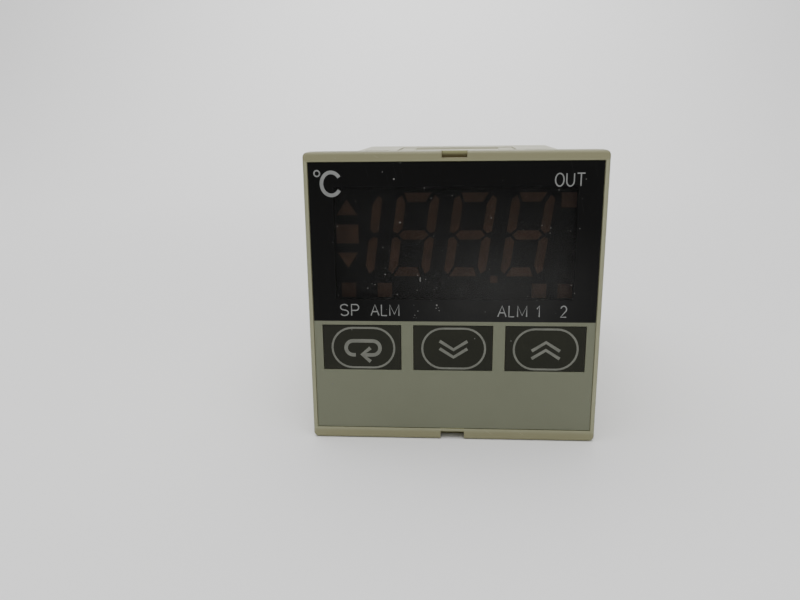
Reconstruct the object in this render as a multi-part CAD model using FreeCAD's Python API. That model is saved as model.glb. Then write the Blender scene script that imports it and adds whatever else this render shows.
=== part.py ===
"""Panel-mounted process temperature controller, 1/16 DIN, with a draw-out front unit.

Frame, in millimetres: the origin is the centre of the panel seat, the rear face of the packing that
bears on the control panel. +X points to the viewer's right, +Y back into the cabinet, +Z up.
The front panel stands in front of Y = 0 and the case reaches back through the panel's cut-out.

Two units make the product. The case unit stays in the panel: the case, its packing and the terminal
block with ten screw terminals. The front unit draws out forwards: the front panel with its film,
display and keys, and two upright boards that run in grooves of the case and plug into its contacts.
"""
import FreeCAD
import Part

import math
import os

V = FreeCAD.Vector

# ---------------------------------------------------------------- overall sizes
front_side = 48.0            # front panel, square
front_reach = 6.0            # front panel's face to the panel seat
panel_lip = 1.6              # front panel beyond the case, all round
case_wall = 1.6
body_depth = 72.0            # panel seat to the rearmost face

# ---------------------------------------------------------------- front panel
panel_corner_r = 0.8
panel_edge_r = 0.45          # rounding of the front edge
panel_wall = 1.5             # wall behind the film
rim_side = 0.85              # rim left and right of the film
rim_top = 1.6
rim_bottom = 2.0
sheet_recess = 0.35
sheet_thickness = 0.25
sheet_gap = 0.12             # round the film, in its recess
seam_gap = 0.1               # front panel to case flange
skirt_wall = 0.8
skirt_gap = 0.15             # skirt to the inside of the case
skirt_end = 5.8              # Y of the skirt's rear edge

# ---------------------------------------------------------------- case flange, packing and seal
flange_inset = 0.02          # all but flush, so the case, not the drawn-out unit, takes the weight
flange_thickness = 1.5
packing_thickness = 0.8
packing_inset = 0.4
packing_gap = 0.2            # packing to the case
seal_width = 0.7
seal_depth = 1.5             # of its groove in the front panel
seal_gap = 0.05

# ---------------------------------------------------------------- release hooks, top and bottom
notch_width = 4.0
notch_depth_top = 1.0        # from the panel's edge
notch_depth_bottom = 1.4
hook_width = 3.6
hook_thickness = 0.95
hook_root = 14.0             # Y where the tongue leaves the case wall
hook_nose = 0.4              # height of the nose on the tongue
hook_slot = 0.8              # slot along each side of the tongue
hook_side_gap = 0.4          # tongue to the sides of its pocket in the front panel
bar_thickness = 0.9          # bar that the nose stands behind
bar_gap = 0.05               # nose to bar, in place of the real bite

# ---------------------------------------------------------------- keys
key_width = 13.0
key_spacing = 2.19
key_z = -7.81
key_height = 7.6
key_gap = 0.1                # round a key, in its window
key_travel = 0.3
key_plate = 0.5
key_stem_width = 6.6
key_stem_height = 4.4
key_stop_width = 8.2
key_stop_height = 6.0
key_stop_thickness = 0.8
key_pocket_floor = 0.6       # wall left under a key's plate
key_names = ("mode", "down", "up")

# ---------------------------------------------------------------- display
window_width = 39.3
window_height = 19.0
window_z = 9.6
window_gap = 0.1
display_width = 39.5
display_height = 19.8
display_depth = 7.0
display_gap = 0.25           # behind the window
character_height = 13.55
segment_width = 1.5
segment_gap = 0.28
segment_setback = 0.4        # right ends of the top and bottom segments, beyond the gap
digit_width = 6.85
digit_pitch = 9.19
digit_slant = 0.135          # sideways lean per unit of height
digit_z = 10.73              # middle of the characters
last_digit_x = 11.82         # middle of the right-hand character
arrow_half_width = 1.7       # of the two triangles, left of the characters
arrow_height = 2.55
indicator_side = 2.4         # of the square indicators
left_column_x = -17.4
right_column_x = 18.2
segment_depth = 0.5

# ---------------------------------------------------------------- boards
board_thickness = 1.6
display_board_gap = 0.1      # display board to the skirt
side_board_room = 6.4        # inner face of an upright board to the case wall
side_board_clear = 0.6       # its edges to the case wall
side_board_front = 6.4
side_board_stop = 2.3        # its rear edge to the terminal block
header_width = 2.5
header_length = 22.86
header_pitch = 2.54
switch_side = 6.0
switch_body = 3.4
button_r = 1.75
button_gap = 0.1

# ---------------------------------------------------------------- case details
groove_gap = 0.2             # upright board to its groove
rib_thickness = 1.0
rib_height = 1.6
rib_front = 12.0
channel_width = 25.8         # adapter channel, top and bottom
channel_depth = 0.5
channel_front = 18.0
ratchet_width = 3.0
ratchet_pitch = 2.5
ratchet_front = 22.0
ratchet_end = 4.0            # racks end before the case does
vent_width = 1.6
vent_pitch = 4.0
vent_count = 6
vent_front = 24.0
side_vent_height = 14.0
top_vent_length = 5.4
top_vent_x = 17.4            # middle of a top vent

# ---------------------------------------------------------------- terminals
block_depth = 10.0           # of the part of the block behind the case
plug_depth = 4.5             # of the block, inside the case
plug_gap = 0.1
terminal_count = 5           # in each column
terminal_pitch = 8.1
barrier = 1.0
bay_depth = 7.8
bay_inner_x = 9.6
plate_thickness = 0.8
plate_gap = 0.1
screw_r = 1.7
head_sides = 24
shank_sides = 12
screw_thread_gap = 0.05
screw_head_height = 2.3
screw_length = 6.0
screw_reach = 5.3            # screw axis from the contact's leg
washer_gap = 0.35            # washer to the barriers
washer_thickness = 0.8
leg_inset = 4.1              # contact's leg inside the board's inner face
contact_height = 3.0
fork_thickness = 0.4
fork_gap = 0.05              # fork to board
fork_reach = 5.0
snap_width = 6.0
snap_length = 2.0
snap_height = 0.6
snap_gap = 0.15
snap_z = 11.0

# ---------------------------------------------------------------- set-up switches on the right board
dip_poles = 6
dip_pitch = 2.54
dip_height = 6.2
dip_depth = 2.6
dip_front = 11.0
dip_z = -11.5
lever_width = 1.0
lever_length = 1.2
lever_travel = 1.4
lever_gap = 0.1
lever_stand = 0.5
lever_root = 1.2             # of a lever, inside its slot
transformer_y = 20.0
former_foot = 1.9
core_height = 5.2
core_length = 16.0
core_width = 12.0
core_leg = 2.4
core_middle = 3.0
core_gap = 0.1
rotary_side = 7.0
rotary_depth = 3.6
rotary_r = 2.4
rotary_gap = 0.1
rotor_depth = 2.0
rotary_z = 5.5
rotary_first_y = 15.0
rotary_spacing = 10.0

# ---------------------------------------------------------------- places worked out from the sizes
case_side = front_side - 2 * panel_lip
case_rear = body_depth - block_depth
flange_side = front_side - 2 * flange_inset
packing_side = front_side - 2 * packing_inset
front_y = -front_reach
sheet_width = front_side - 2 * rim_side
sheet_height = front_side - rim_top - rim_bottom
sheet_z = (rim_bottom - rim_top) / 2
sheet_floor_y = front_y + sheet_recess
wall_rear_y = sheet_floor_y + panel_wall
flange_rear_y = -packing_thickness
flange_front_y = flange_rear_y - flange_thickness
panel_rear_y = flange_front_y - seam_gap
case_inside = case_side - 2 * case_wall
skirt_side = case_inside - 2 * skirt_gap
skirt_inside = skirt_side - 2 * skirt_wall
key_pitch = key_width + key_spacing
key_xs = [-key_pitch, 0.0, key_pitch]
display_front_y = wall_rear_y + display_gap
display_rear_y = display_front_y + display_depth
board_front_y = display_rear_y
board_rear_y = board_front_y + board_thickness
switch_front_y = board_front_y - switch_body
button_front_y = switch_front_y - 1.5
terminal_zs = [terminal_pitch * (i - (terminal_count - 1) / 2) for i in range(terminal_count)]
plug_front_y = case_rear - plug_depth
seat_y = body_depth - bay_depth
side_board_x = case_inside / 2 - side_board_room
side_board_outer_x = side_board_x + board_thickness
side_board_height = case_inside - 2 * side_board_clear
side_board_rear = plug_front_y - side_board_stop
leg_x = side_board_x - leg_inset
terminal_x = leg_x + screw_reach
bay_width = terminal_pitch - barrier
washer_side = bay_width - 2 * washer_gap
screw_head_r = washer_side / 2 - 0.2


# ---------------------------------------------------------------- shape helpers
def block(x0, x1, y0, y1, z0, z1):
    """A box between two corners."""
    return Part.makeBox(x1 - x0, y1 - y0, z1 - z0, V(x0, y0, z0))


def bar(cx, cz, width, height, y0, y1):
    """A box centred on (cx, cz) that runs from y0 to y1."""
    return block(cx - width / 2, cx + width / 2, y0, y1, cz - height / 2, cz + height / 2)


def rounded_bar(cx, cz, width, height, radius, y0, y1):
    """A bar whose four long edges are rounded."""
    x0, x1, z0, z1 = cx - width / 2, cx + width / 2, cz - height / 2, cz + height / 2
    c = radius * (1 - math.sqrt(0.5))
    corners = [
        ((x1 - radius, z1), (x1 - c, z1 - c), (x1, z1 - radius)),
        ((x1, z0 + radius), (x1 - c, z0 + c), (x1 - radius, z0)),
        ((x0 + radius, z0), (x0 + c, z0 + c), (x0, z0 + radius)),
        ((x0, z1 - radius), (x0 + c, z1 - c), (x0 + radius, z1)),
    ]
    edges = []
    for i, (start, middle, end) in enumerate(corners):
        a, m, b = (V(p[0], y0, p[1]) for p in (start, middle, end))
        edges.append(Part.Arc(a, m, b).toShape())
        following = corners[(i + 1) % 4][0]
        after = V(following[0], y0, following[1])
        if (after - b).Length > 1e-6:
            edges.append(Part.LineSegment(b, after).toShape())
    return Part.Face(Part.Wire(edges)).extrude(V(0, y1 - y0, 0))


def prism(points, direction):
    """A prism on a closed polygon of vectors."""
    return Part.Face(Part.makePolygon([*points, points[0]])).extrude(direction)


def rod(radius, start, end):
    """A cylinder between two points."""
    along = end - start
    return Part.makeCylinder(radius, along.Length, start, along)


def turned(profile, foot, along):
    """A solid of revolution: (radius, height) points turned about an axis."""
    points = [V(r, 0, h) for r, h in profile]
    solid = Part.Face(Part.makePolygon([*points, points[0]])).revolve(V(0, 0, 0), V(0, 0, 1), 360)
    solid.Placement = FreeCAD.Placement(foot, FreeCAD.Rotation(V(0, 0, 1), along))
    return solid


def join(shapes):
    """One solid from touching or overlapping shapes."""
    first, *rest = shapes
    return (first.fuse(rest) if rest else first).removeSplitter()


def group(shapes):
    """Separate solids in one compound."""
    return Part.makeCompound(shapes)


def mirror_x(shape):
    return shape.mirror(V(0, 0, 0), V(1, 0, 0))


def mirror_z(shape):
    return shape.mirror(V(0, 0, 0), V(0, 0, 1))


def edges_on_plane_y(shape, y, outside):
    """Edges that lie in the plane Y = y and outside a centred square of that half side."""
    found = []
    for edge in shape.Edges:
        box = edge.BoundBox
        flat = abs(box.YMin - y) < 1e-4 and abs(box.YMax - y) < 1e-4
        reach = max(abs(box.Center.x), abs(box.Center.z))
        if flat and reach > outside:
            found.append(edge)
    return found


# ---------------------------------------------------------------- front panel unit
def front_panel():
    """The moulded front: rim, film recess, display opening, key pockets, skirt and hook pockets."""
    body = rounded_bar(0, 0, front_side, front_side, panel_corner_r, front_y, panel_rear_y)
    front_edges = edges_on_plane_y(body, front_y, front_side / 2 - 1.5)
    body = body.makeFillet(panel_edge_r, front_edges)
    skirt = rounded_bar(0, 0, skirt_side, skirt_side, 0.6, wall_rear_y, skirt_end)
    body = body.fuse(skirt)
    tools = [
        bar(0, sheet_z, sheet_width + 2 * sheet_gap, sheet_height + 2 * sheet_gap,
            front_y - 1, sheet_floor_y),
        bar(0, 0, skirt_inside, skirt_inside, wall_rear_y, skirt_end + 1),
        bar(0, window_z, window_width + 2 * window_gap, window_height + 2 * window_gap,
            sheet_floor_y - 1, wall_rear_y + 1),
        seal_groove(),
    ]
    pocket_y = wall_rear_y - key_pocket_floor
    for x in key_xs:
        tools.append(bar(x, key_z, key_width + 2 * key_gap, key_height + 2 * key_gap,
                         sheet_floor_y - 1, pocket_y))
        tools.append(bar(x, key_z, key_stem_width + 2 * key_gap, key_stem_height + 2 * key_gap,
                         pocket_y - 0.1, wall_rear_y + 0.1))
    for tool in hook_pocket():
        tools += [tool, mirror_z(tool)]
    tools += [notch(notch_depth_top), mirror_z(notch(notch_depth_bottom))]
    body = body.cut(tools)
    low_z = 0.6 - skirt_inside / 2
    posts = [bar(side * -low_z, low_z, 1.6, 1.6, wall_rear_y - 0.2, board_front_y) for side in (-1, 1)]
    body = body.fuse(posts + board_catches())
    return body.removeSplitter()


def seal_groove():
    """The groove round the skirt that holds the inner seal."""
    outer = skirt_side + 2 * (seal_width + 2 * seal_gap)
    groove_front = panel_rear_y - seal_depth
    ring = rounded_bar(0, 0, outer, outer, 1.0, groove_front, panel_rear_y + 1)
    return ring.cut(rounded_bar(0, 0, skirt_side, skirt_side, 0.6, groove_front - 1, panel_rear_y + 2))


def notch(depth):
    """Cut for the upper tool notch, from the face back to the bar."""
    top = front_side / 2
    return block(-notch_width / 2, notch_width / 2, front_y - 1, panel_rear_y - bar_thickness,
                 top - depth, top + 1)


def hook_pocket():
    """Cuts for the upper release hook: its pocket and the passage under its bar."""
    top = front_side / 2
    pocket_width = hook_width + 2 * hook_side_gap
    pocket_floor = case_side / 2 - hook_thickness - 0.1
    bar_front_y = panel_rear_y - bar_thickness
    pocket_front_y = front_y + 1.4
    bar_low = case_side / 2 + hook_nose + bar_gap
    return [
        block(-pocket_width / 2, pocket_width / 2, pocket_front_y, bar_front_y, pocket_floor, top + 1),
        block(-pocket_width / 2, pocket_width / 2, bar_front_y - 0.1, panel_rear_y + 1,
              pocket_floor, bar_low),
    ]


def board_catches():
    """Four small noses inside the skirt that hold the display board from behind."""
    catches = []
    start = board_rear_y + 0.05
    for side in (-1, 1):
        for z in (-9.0, 9.0):
            wall = skirt_inside / 2
            profile = [V(wall + 0.1, start, z), V(wall - 0.35, start, z), V(wall + 0.1, start + 0.7, z)]
            nose = prism(profile, V(0, 0, 3.0))
            catches.append(nose if side > 0 else mirror_x(nose))
    return catches


def front_sheet():
    """The printed film on the front, with a window for each key."""
    film = bar(0, sheet_z, sheet_width, sheet_height, sheet_floor_y - sheet_thickness, sheet_floor_y)
    windows = [bar(x, key_z, key_width + 2 * key_gap, key_height + 2 * key_gap,
                   sheet_floor_y - 1, sheet_floor_y + 1) for x in key_xs]
    return film.cut(windows)


def display_window():
    """The smoked plate that fills the display opening."""
    return bar(0, window_z, window_width, window_height, sheet_floor_y, wall_rear_y)


def inner_seal():
    """The rubber ring between the front panel and the case flange."""
    inner = skirt_side + 2 * seal_gap
    outer = inner + 2 * seal_width
    start = panel_rear_y - seal_depth
    end = flange_front_y
    ring = rounded_bar(0, 0, outer, outer, 0.9, start, end)
    return ring.cut(bar(0, 0, inner, inner, start - 1, end + 1))


# ---------------------------------------------------------------- keys
def key_film(x):
    """The printed film over one key, which moves with it."""
    return bar(x, key_z, key_width, key_height, sheet_floor_y - sheet_thickness, sheet_floor_y)


def key_plunger(x):
    """A key's plate, its stem through the wall, its stop flange and the foot on the switch."""
    plate = bar(x, key_z, key_width, key_height, sheet_floor_y, sheet_floor_y + key_plate)
    stop_front = wall_rear_y
    stop_rear = stop_front + key_stop_thickness
    stem = bar(x, key_z, key_stem_width, key_stem_height, sheet_floor_y + key_plate / 2, stop_rear)
    stop = bar(x, key_z, key_stop_width, key_stop_height, stop_front, stop_rear)
    foot = rod(button_r + 0.4, V(x, stop_front, key_z), V(x, button_front_y, key_z))
    return join([plate, stem, stop, foot])


def switch_base(x):
    """A push switch's body on the display board, bored for its button."""
    body = bar(x, key_z, switch_side, switch_side, switch_front_y, board_front_y)
    well = rod(button_r + button_gap, V(x, switch_front_y - 1, key_z), V(x, switch_front_y + 1.1, key_z))
    return body.cut(well)


def switch_button(x):
    """The round button of a push switch."""
    return rod(button_r, V(x, button_front_y, key_z), V(x, switch_front_y + 0.6, key_z))


# ---------------------------------------------------------------- display
def slanted(points, cx):
    """Upright outline points (x, z) about a character's middle, leaned over and placed at cx."""
    return [V(cx + x + digit_slant * z, 0, digit_z + z) for x, z in points]


def segment_outlines():
    """The seven segments of a character, a to g, as outlines about its middle."""
    w, h, t, g = digit_width / 2, character_height / 2, segment_width, segment_gap
    half = t / 2
    back = segment_setback
    top = [(-w + half + g, h), (w - half - g - back, h), (w - t - g - back, h - t), (-w + t + g, h - t)]
    middle = [(-w + half + g, 0), (-w + t + g, half), (w - t - g, half),
              (w - half - g, 0), (w - t - g, -half), (-w + t + g, -half)]
    upright = [(-w, g + half * 0.4), (-w, h - g - half), (-w + half, h - g - 0.1),
               (-w + t, h - t - g), (-w + t, half + g), (-w + half, g)]
    across = [(-x, z) for x, z in upright]
    return {
        "a": top,
        "b": across,
        "c": [(x, -z) for x, z in across],
        "d": [(x, -z) for x, z in top],
        "e": [(x, -z) for x, z in upright],
        "f": upright,
        "g": middle,
    }


def display_marks():
    """Every lit shape of the display, as a list of outlines in the XZ plane."""
    outlines = segment_outlines()
    marks = []
    for place in range(3):
        cx = last_digit_x - place * digit_pitch
        marks += [slanted(outlines[name], cx) for name in "abcdefg"]
    half_digit_x = last_digit_x - 3 * digit_pitch
    marks += [slanted(outlines[name], half_digit_x) for name in "bc"]
    low_x, high_x = left_column_x - arrow_half_width, left_column_x + arrow_half_width
    for base, tip in ((13.95, 13.95 + arrow_height), (7.85, 7.85 - arrow_height)):
        marks.append([V(low_x, 0, base), V(high_x, 0, base), V(left_column_x, 0, tip)])
    side = indicator_side
    boxes = [
        (left_column_x, 10.9, 3.65, 3.1),
        (left_column_x, 1.6, side, side),
        (-11.4, 1.6, side, side),
        (14.0, 1.56, side, side),
        (right_column_x, 1.56, side, side),
        (right_column_x, 16.27, side, side),
        (6.6, 3.45, 1.2, 1.2),
    ]
    for cx, cz, width, height in boxes:
        x0, x1, z0, z1 = cx - width / 2, cx + width / 2, cz - height / 2, cz + height / 2
        marks.append([V(x0, 0, z0), V(x1, 0, z0), V(x1, 0, z1), V(x0, 0, z1)])
    return marks


def mark_prisms(y0, y1):
    """A prism on every mark of the display."""
    shift = V(0, y0, 0)
    return [prism([p + shift for p in outline], V(0, y1 - y0, 0)) for outline in display_marks()]


def display_body():
    """The display module's housing, with a well for each lit shape."""
    housing = bar(0, window_z, display_width, display_height, display_front_y, display_rear_y)
    return housing.cut(mark_prisms(display_front_y - 1, display_front_y + segment_depth))


def display_segments():
    """The light-spreading fill of each well."""
    return group(mark_prisms(display_front_y, display_front_y + segment_depth))


def display_board():
    """The board behind the display, which carries the push switches."""
    side = skirt_inside - 2 * display_board_gap
    return bar(0, 0, side, side, board_front_y, board_rear_y)


# ---------------------------------------------------------------- upright boards
def side_board():
    """The right-hand upright board, with contact tongues along its rear edge."""
    board = block(side_board_x, side_board_outer_x, side_board_front, side_board_rear,
                  -side_board_height / 2, side_board_height / 2)
    slots = []
    for low, high in zip(terminal_zs, terminal_zs[1:]):
        middle = (low + high) / 2
        slots.append(block(side_board_x - 1, side_board_outer_x + 1, side_board_rear - 4.0,
                           side_board_rear + 1, middle - 0.8, middle + 0.8))
    return board.cut(slots)


def board_header():
    """The right-hand angled pin row that joins the display board to an upright board."""
    bed = block(side_board_x - header_width, side_board_x, board_rear_y, board_rear_y + header_width,
                -header_length / 2, header_length / 2)
    count = int(header_length / header_pitch)
    pins = []
    for i in range(count):
        z = header_pitch * (i - (count - 1) / 2)
        x = side_board_x - header_width / 2
        foot_y = board_rear_y + header_width + 1.6
        pins.append(block(x - 0.3, x + 0.3, board_rear_y + 1, foot_y, z - 0.3, z + 0.3))
        pins.append(block(x - 0.3, side_board_x, foot_y - 0.6, foot_y, z - 0.3, z + 0.3))
    return join([bed, *pins])


def relay(x_face, direction, y0, z0):
    """A sealed relay of 20 by 10 by 10 mm that stands on a board's face."""
    x0, x1 = sorted((x_face, x_face + direction * 10.0))
    case = block(x0, x1, y0, y0 + 20.0, z0, z0 + 10.0)
    far = x_face + direction * 10.0
    top_edges = [e for e in case.Edges
                 if abs(e.BoundBox.XMin - far) < 1e-4 and abs(e.BoundBox.XMax - far) < 1e-4]
    return case.makeChamfer(0.5, top_edges)


def capacitor(x_face, direction, y, z, radius, height):
    """A wound capacitor standing on a board, with the waist of its rolled end."""
    neck = radius - 0.4
    profile = [(0, 0), (radius, 0), (radius, 1.2), (neck, 1.6), (radius, 2.0), (radius, height), (0, height)]
    return turned(profile, V(x_face, y, z), V(direction, 0, 0))


# ---------------------------------------------------------------- case unit
def rear_case():
    """The case: a square tube with a front flange, hooks, board grooves, adapter channel and vents."""
    half = case_side / 2
    inside = case_inside / 2
    tube = rounded_bar(0, 0, case_side, case_side, 1.2, flange_front_y, case_rear)
    flange = rounded_bar(0, 0, flange_side, flange_side, 1.4, flange_front_y, flange_rear_y)
    body = tube.fuse(flange)
    hollow = bar(0, 0, case_inside, case_inside, flange_front_y - 1, case_rear + 1)
    channel = adapter_channel()
    body = body.cut([hollow, channel, mirror_z(channel)])
    added = []
    for x0 in (side_board_x - groove_gap - rib_thickness, side_board_outer_x + groove_gap):
        rib = block(x0, x0 + rib_thickness, rib_front, plug_front_y, inside - rib_height, inside + 0.1)
        added += [rib, mirror_x(rib), mirror_z(rib), mirror_z(mirror_x(rib))]
    rack = ratchet()
    added += [rack, mirror_x(rack), mirror_z(rack), mirror_z(mirror_x(rack))]
    body = body.fuse(added)
    tools = vents() + snap_windows()
    for tool in hook_slots():
        tools += [tool, mirror_z(tool)]
    body = body.cut(tools)
    hook = release_hook()
    body = body.fuse([hook, mirror_z(hook)])
    return body.removeSplitter()


def adapter_channel():
    """Cut for the upper channel, in which the mounting adapter slides on from the rear."""
    half = case_side / 2
    return block(-channel_width / 2, channel_width / 2, channel_front, body_depth + 1,
                 half - channel_depth, half + 1)


def ratchet():
    """One rack of saw teeth in the adapter channel, upper right."""
    floor = case_side / 2 - channel_depth
    teeth = int((case_rear - ratchet_end - ratchet_front) / ratchet_pitch)
    x0 = channel_width / 2 - ratchet_width - 0.5
    points = [V(x0, ratchet_front, floor - 0.1)]
    for i in range(teeth):
        start = ratchet_front + i * ratchet_pitch
        points.append(V(x0, start, floor))
        points.append(V(x0, start + ratchet_pitch - 0.3, floor + channel_depth))
    rear = ratchet_front + teeth * ratchet_pitch
    points += [V(x0, rear, floor), V(x0, rear, floor - 0.1)]
    return prism(points, V(ratchet_width, 0, 0))


def hook_slots():
    """Cuts that free the upper hook's tongue from the case wall and flange."""
    half = case_side / 2
    reach = hook_width / 2 + hook_slot
    return [
        block(-reach, reach, flange_front_y - 1, flange_rear_y + 0.1, half - hook_thickness - 0.05, half + 3),
        block(-reach, reach, flange_rear_y, hook_root, half - case_wall - 0.1, half + 1),
    ]


def release_hook():
    """The upper tongue and its nose, which reaches into the front panel."""
    half = case_side / 2
    tip = panel_rear_y - bar_thickness - 0.1
    low = half - hook_thickness
    profile = [
        V(0, hook_root + 0.5, low),
        V(0, tip - 0.9, low),
        V(0, tip - 0.9, half - 0.1),
        V(0, tip - 0.3, half + hook_nose),
        V(0, tip, half + hook_nose),
        V(0, tip, half),
        V(0, hook_root + 0.5, half),
    ]
    tongue = prism(profile, V(hook_width, 0, 0))
    tongue.translate(V(-hook_width / 2, 0, 0))
    return tongue


def vents():
    """Cooling slots in the sides, the top and the bottom."""
    half = case_side / 2
    cuts = []
    for i in range(vent_count):
        y0 = vent_front + i * vent_pitch
        y1 = y0 + vent_width
        cuts.append(block(-half - 1, half + 1, y0, y1, -side_vent_height / 2, side_vent_height / 2))
        for side in (-1, 1):
            x = side * top_vent_x
            low, high = x - top_vent_length / 2, x + top_vent_length / 2
            cuts.append(block(low, high, y0, y1, -half - 1, half + 1))
    return cuts


def snap_windows():
    """Windows in the side walls that the terminal block's tabs click into."""
    inside = case_inside / 2
    length = snap_length + 2 * snap_gap
    width = snap_width + 2 * snap_gap
    y0 = case_rear - plug_depth + 1.0 - snap_gap
    cuts = []
    for side in (-1, 1):
        for z in (-snap_z, snap_z):
            x0, x1 = sorted((side * (inside - 0.5), side * (inside + case_wall + 1)))
            cuts.append(block(x0, x1, y0, y0 + length, z - width / 2, z + width / 2))
    return cuts


def panel_packing():
    """The flat rubber ring that seals the flange to the control panel."""
    ring = rounded_bar(0, 0, packing_side, packing_side, 1.2, flange_rear_y, 0)
    hole = case_side + 2 * packing_gap
    return ring.cut(bar(0, 0, hole, hole, flange_rear_y - 1, 1))


# ---------------------------------------------------------------- terminals
def terminal_block():
    """The block that closes the case: ten open bays between barriers, and a plug with snap tabs."""
    rim = rounded_bar(0, 0, case_side, case_side, 1.2, case_rear, body_depth)
    plug_side = case_inside - 2 * plug_gap
    plug = bar(0, 0, plug_side, plug_side, plug_front_y, case_rear)
    body = rim.fuse([plug] + snap_tabs())
    tools = [bar(0, 0, 2 * bay_inner_x - 3.0, plug_side - 3.0, plug_front_y - 1, body_depth - 1.5)]
    for z in terminal_zs:
        tools += terminal_cuts(z)
        tools += [mirror_x(tool) for tool in terminal_cuts(z)]
    return body.cut(tools).removeSplitter()


def terminal_cuts(z):
    """One right-hand bay, the screw's relief hole and the slot for the contact's leg."""
    bay = block(bay_inner_x, case_side / 2 + 1, seat_y, body_depth + 1, z - bay_width / 2, z + bay_width / 2)
    room = 2 * screw_r + 0.8
    relief = bar(terminal_x, z, room, room, seat_y - screw_length, seat_y + 1)
    slot = block(leg_x - plate_gap, leg_x + plate_thickness + plate_gap, plug_front_y - 1, seat_y + 1,
                 z - contact_height / 2 - plate_gap, z + contact_height / 2 + plate_gap)
    return [bay, relief, slot]


def snap_tabs():
    """Ramped tabs on the sides of the block's plug."""
    wall = (case_inside - 2 * plug_gap) / 2
    y0 = plug_front_y + 1.0
    tabs = []
    for z in (-snap_z, snap_z):
        profile = [V(wall - 0.1, y0, z - snap_width / 2), V(wall, y0, z - snap_width / 2),
                   V(wall + snap_height, y0 + snap_length, z - snap_width / 2),
                   V(wall - 0.1, y0 + snap_length, z - snap_width / 2)]
        tab = prism(profile, V(0, 0, snap_width))
        tabs += [tab, mirror_x(tab)]
    return tabs


def terminal(z):
    """A right-hand terminal in one folded strip: threaded seat, leg and the fork round the board."""
    width = bay_width - 2 * plate_gap
    seat = block(leg_x, terminal_x + 4.6, seat_y, seat_y + plate_thickness, z - width / 2, z + width / 2)
    seat = seat.cut(screw_hole(z))
    low, high = z - contact_height / 2, z + contact_height / 2
    fork_rear = plug_front_y - 0.6
    fork_base = fork_rear - plate_thickness
    leg = block(leg_x, leg_x + plate_thickness, fork_base, seat_y + plate_thickness, low, high)
    outer_arm = side_board_outer_x + fork_gap
    base = block(leg_x, outer_arm + fork_thickness, fork_base, fork_rear, low, high)
    inner_arm = side_board_x - fork_gap - fork_thickness
    arms = [block(x, x + fork_thickness, fork_base - fork_reach, fork_rear, low, high)
            for x in (inner_arm, outer_arm)]
    return join([seat, leg, base, *arms])


def faceted_rod(sides, radius, y0, y1, z):
    """A many-sided rod on a screw's axis, plain enough to repeat twenty times."""
    points = []
    for i in range(sides):
        a = 2 * math.pi * (i + 0.5) / sides
        points.append(V(terminal_x + radius * math.cos(a), y0, z + radius * math.sin(a)))
    return prism(points, V(0, y1 - y0, 0))


def screw_hole(z):
    """The cut for a screw's shank through a terminal or a washer."""
    return faceted_rod(shank_sides, screw_r + screw_thread_gap, seat_y - 1, seat_y + 3, z)


def terminal_washer(z):
    """The captive square washer under a screw head."""
    y0 = seat_y + plate_thickness
    return bar(terminal_x, z, washer_side, washer_side, y0, y0 + washer_thickness).cut(screw_hole(z))


def terminal_screw(z):
    """A pan-head terminal screw with a cross recess."""
    head_y = seat_y + plate_thickness + washer_thickness
    top_y = head_y + screw_head_height
    head = faceted_rod(head_sides, screw_head_r, head_y, top_y, z)
    rim = [e for e in head.Edges if abs(e.BoundBox.YMin - top_y) < 1e-4]
    shank = faceted_rod(shank_sides, screw_r, head_y - screw_length, head_y, z)
    screw = head.makeChamfer(0.6, rim).fuse(shank)
    cross = [bar(terminal_x, z, 3.4, 0.7, top_y - 1.3, top_y + 1),
             bar(terminal_x, z, 0.7, 3.4, top_y - 1.3, top_y + 1)]
    return screw.cut(cross).removeSplitter()


# ---------------------------------------------------------------- set-up switches
def dip_lever_y(index):
    return dip_front + dip_pitch * (index + 0.5)


def dip_body():
    """The six-pole slide switch's body, with a slot for each lever."""
    x0, x1 = side_board_outer_x, side_board_outer_x + dip_depth
    body = block(x0, x1, dip_front, dip_front + dip_poles * dip_pitch,
                 dip_z - dip_height / 2, dip_z + dip_height / 2)
    slot_width = lever_width + 2 * lever_gap
    slot_length = lever_length + lever_travel + 2 * lever_gap
    slots = []
    for i in range(dip_poles):
        y = dip_lever_y(i)
        slots.append(block(x1 - lever_root, x1 + 1, y - slot_width / 2, y + slot_width / 2,
                           dip_z - slot_length / 2, dip_z + slot_length / 2))
    return body.cut(slots)


def dip_lever(index):
    """One lever, at the lower end of its slot."""
    x1 = side_board_outer_x + dip_depth
    y = dip_lever_y(index)
    z0 = dip_z - (lever_length + lever_travel) / 2
    return block(x1 - lever_root, x1 + lever_stand, y - lever_width / 2, y + lever_width / 2,
                 z0, z0 + lever_length)


def rotary_centre(index):
    return V(side_board_outer_x + rotary_depth, rotary_first_y + index * rotary_spacing, rotary_z)


def rotary_body(index):
    """A ten-position rotary switch's body, with the round well for its rotor."""
    c = rotary_centre(index)
    half = rotary_side / 2
    body = block(c.x - rotary_depth, c.x, c.y - half, c.y + half, c.z - half, c.z + half)
    well = rod(rotary_r + rotary_gap, V(c.x - rotor_depth, c.y, c.z), V(c.x + 1, c.y, c.z))
    return body.cut(well)


def rotary_rotor(index):
    """The rotor, with a screwdriver slot and a small pointer notch."""
    c = rotary_centre(index)
    rotor = rod(rotary_r, V(c.x - rotor_depth, c.y, c.z), V(c.x, c.y, c.z))
    slot = block(c.x - 0.9, c.x + 1, c.y - 0.4, c.y + 0.4, c.z - 1.9, c.z + 1.9)
    pointer = prism([V(c.x - 0.4, c.y - 0.7, c.z + 1.2), V(c.x - 0.4, c.y + 0.7, c.z + 1.2),
                     V(c.x - 0.4, c.y, c.z + 2.1)], V(1, 0, 0))
    return rotor.cut([slot, pointer])


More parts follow.
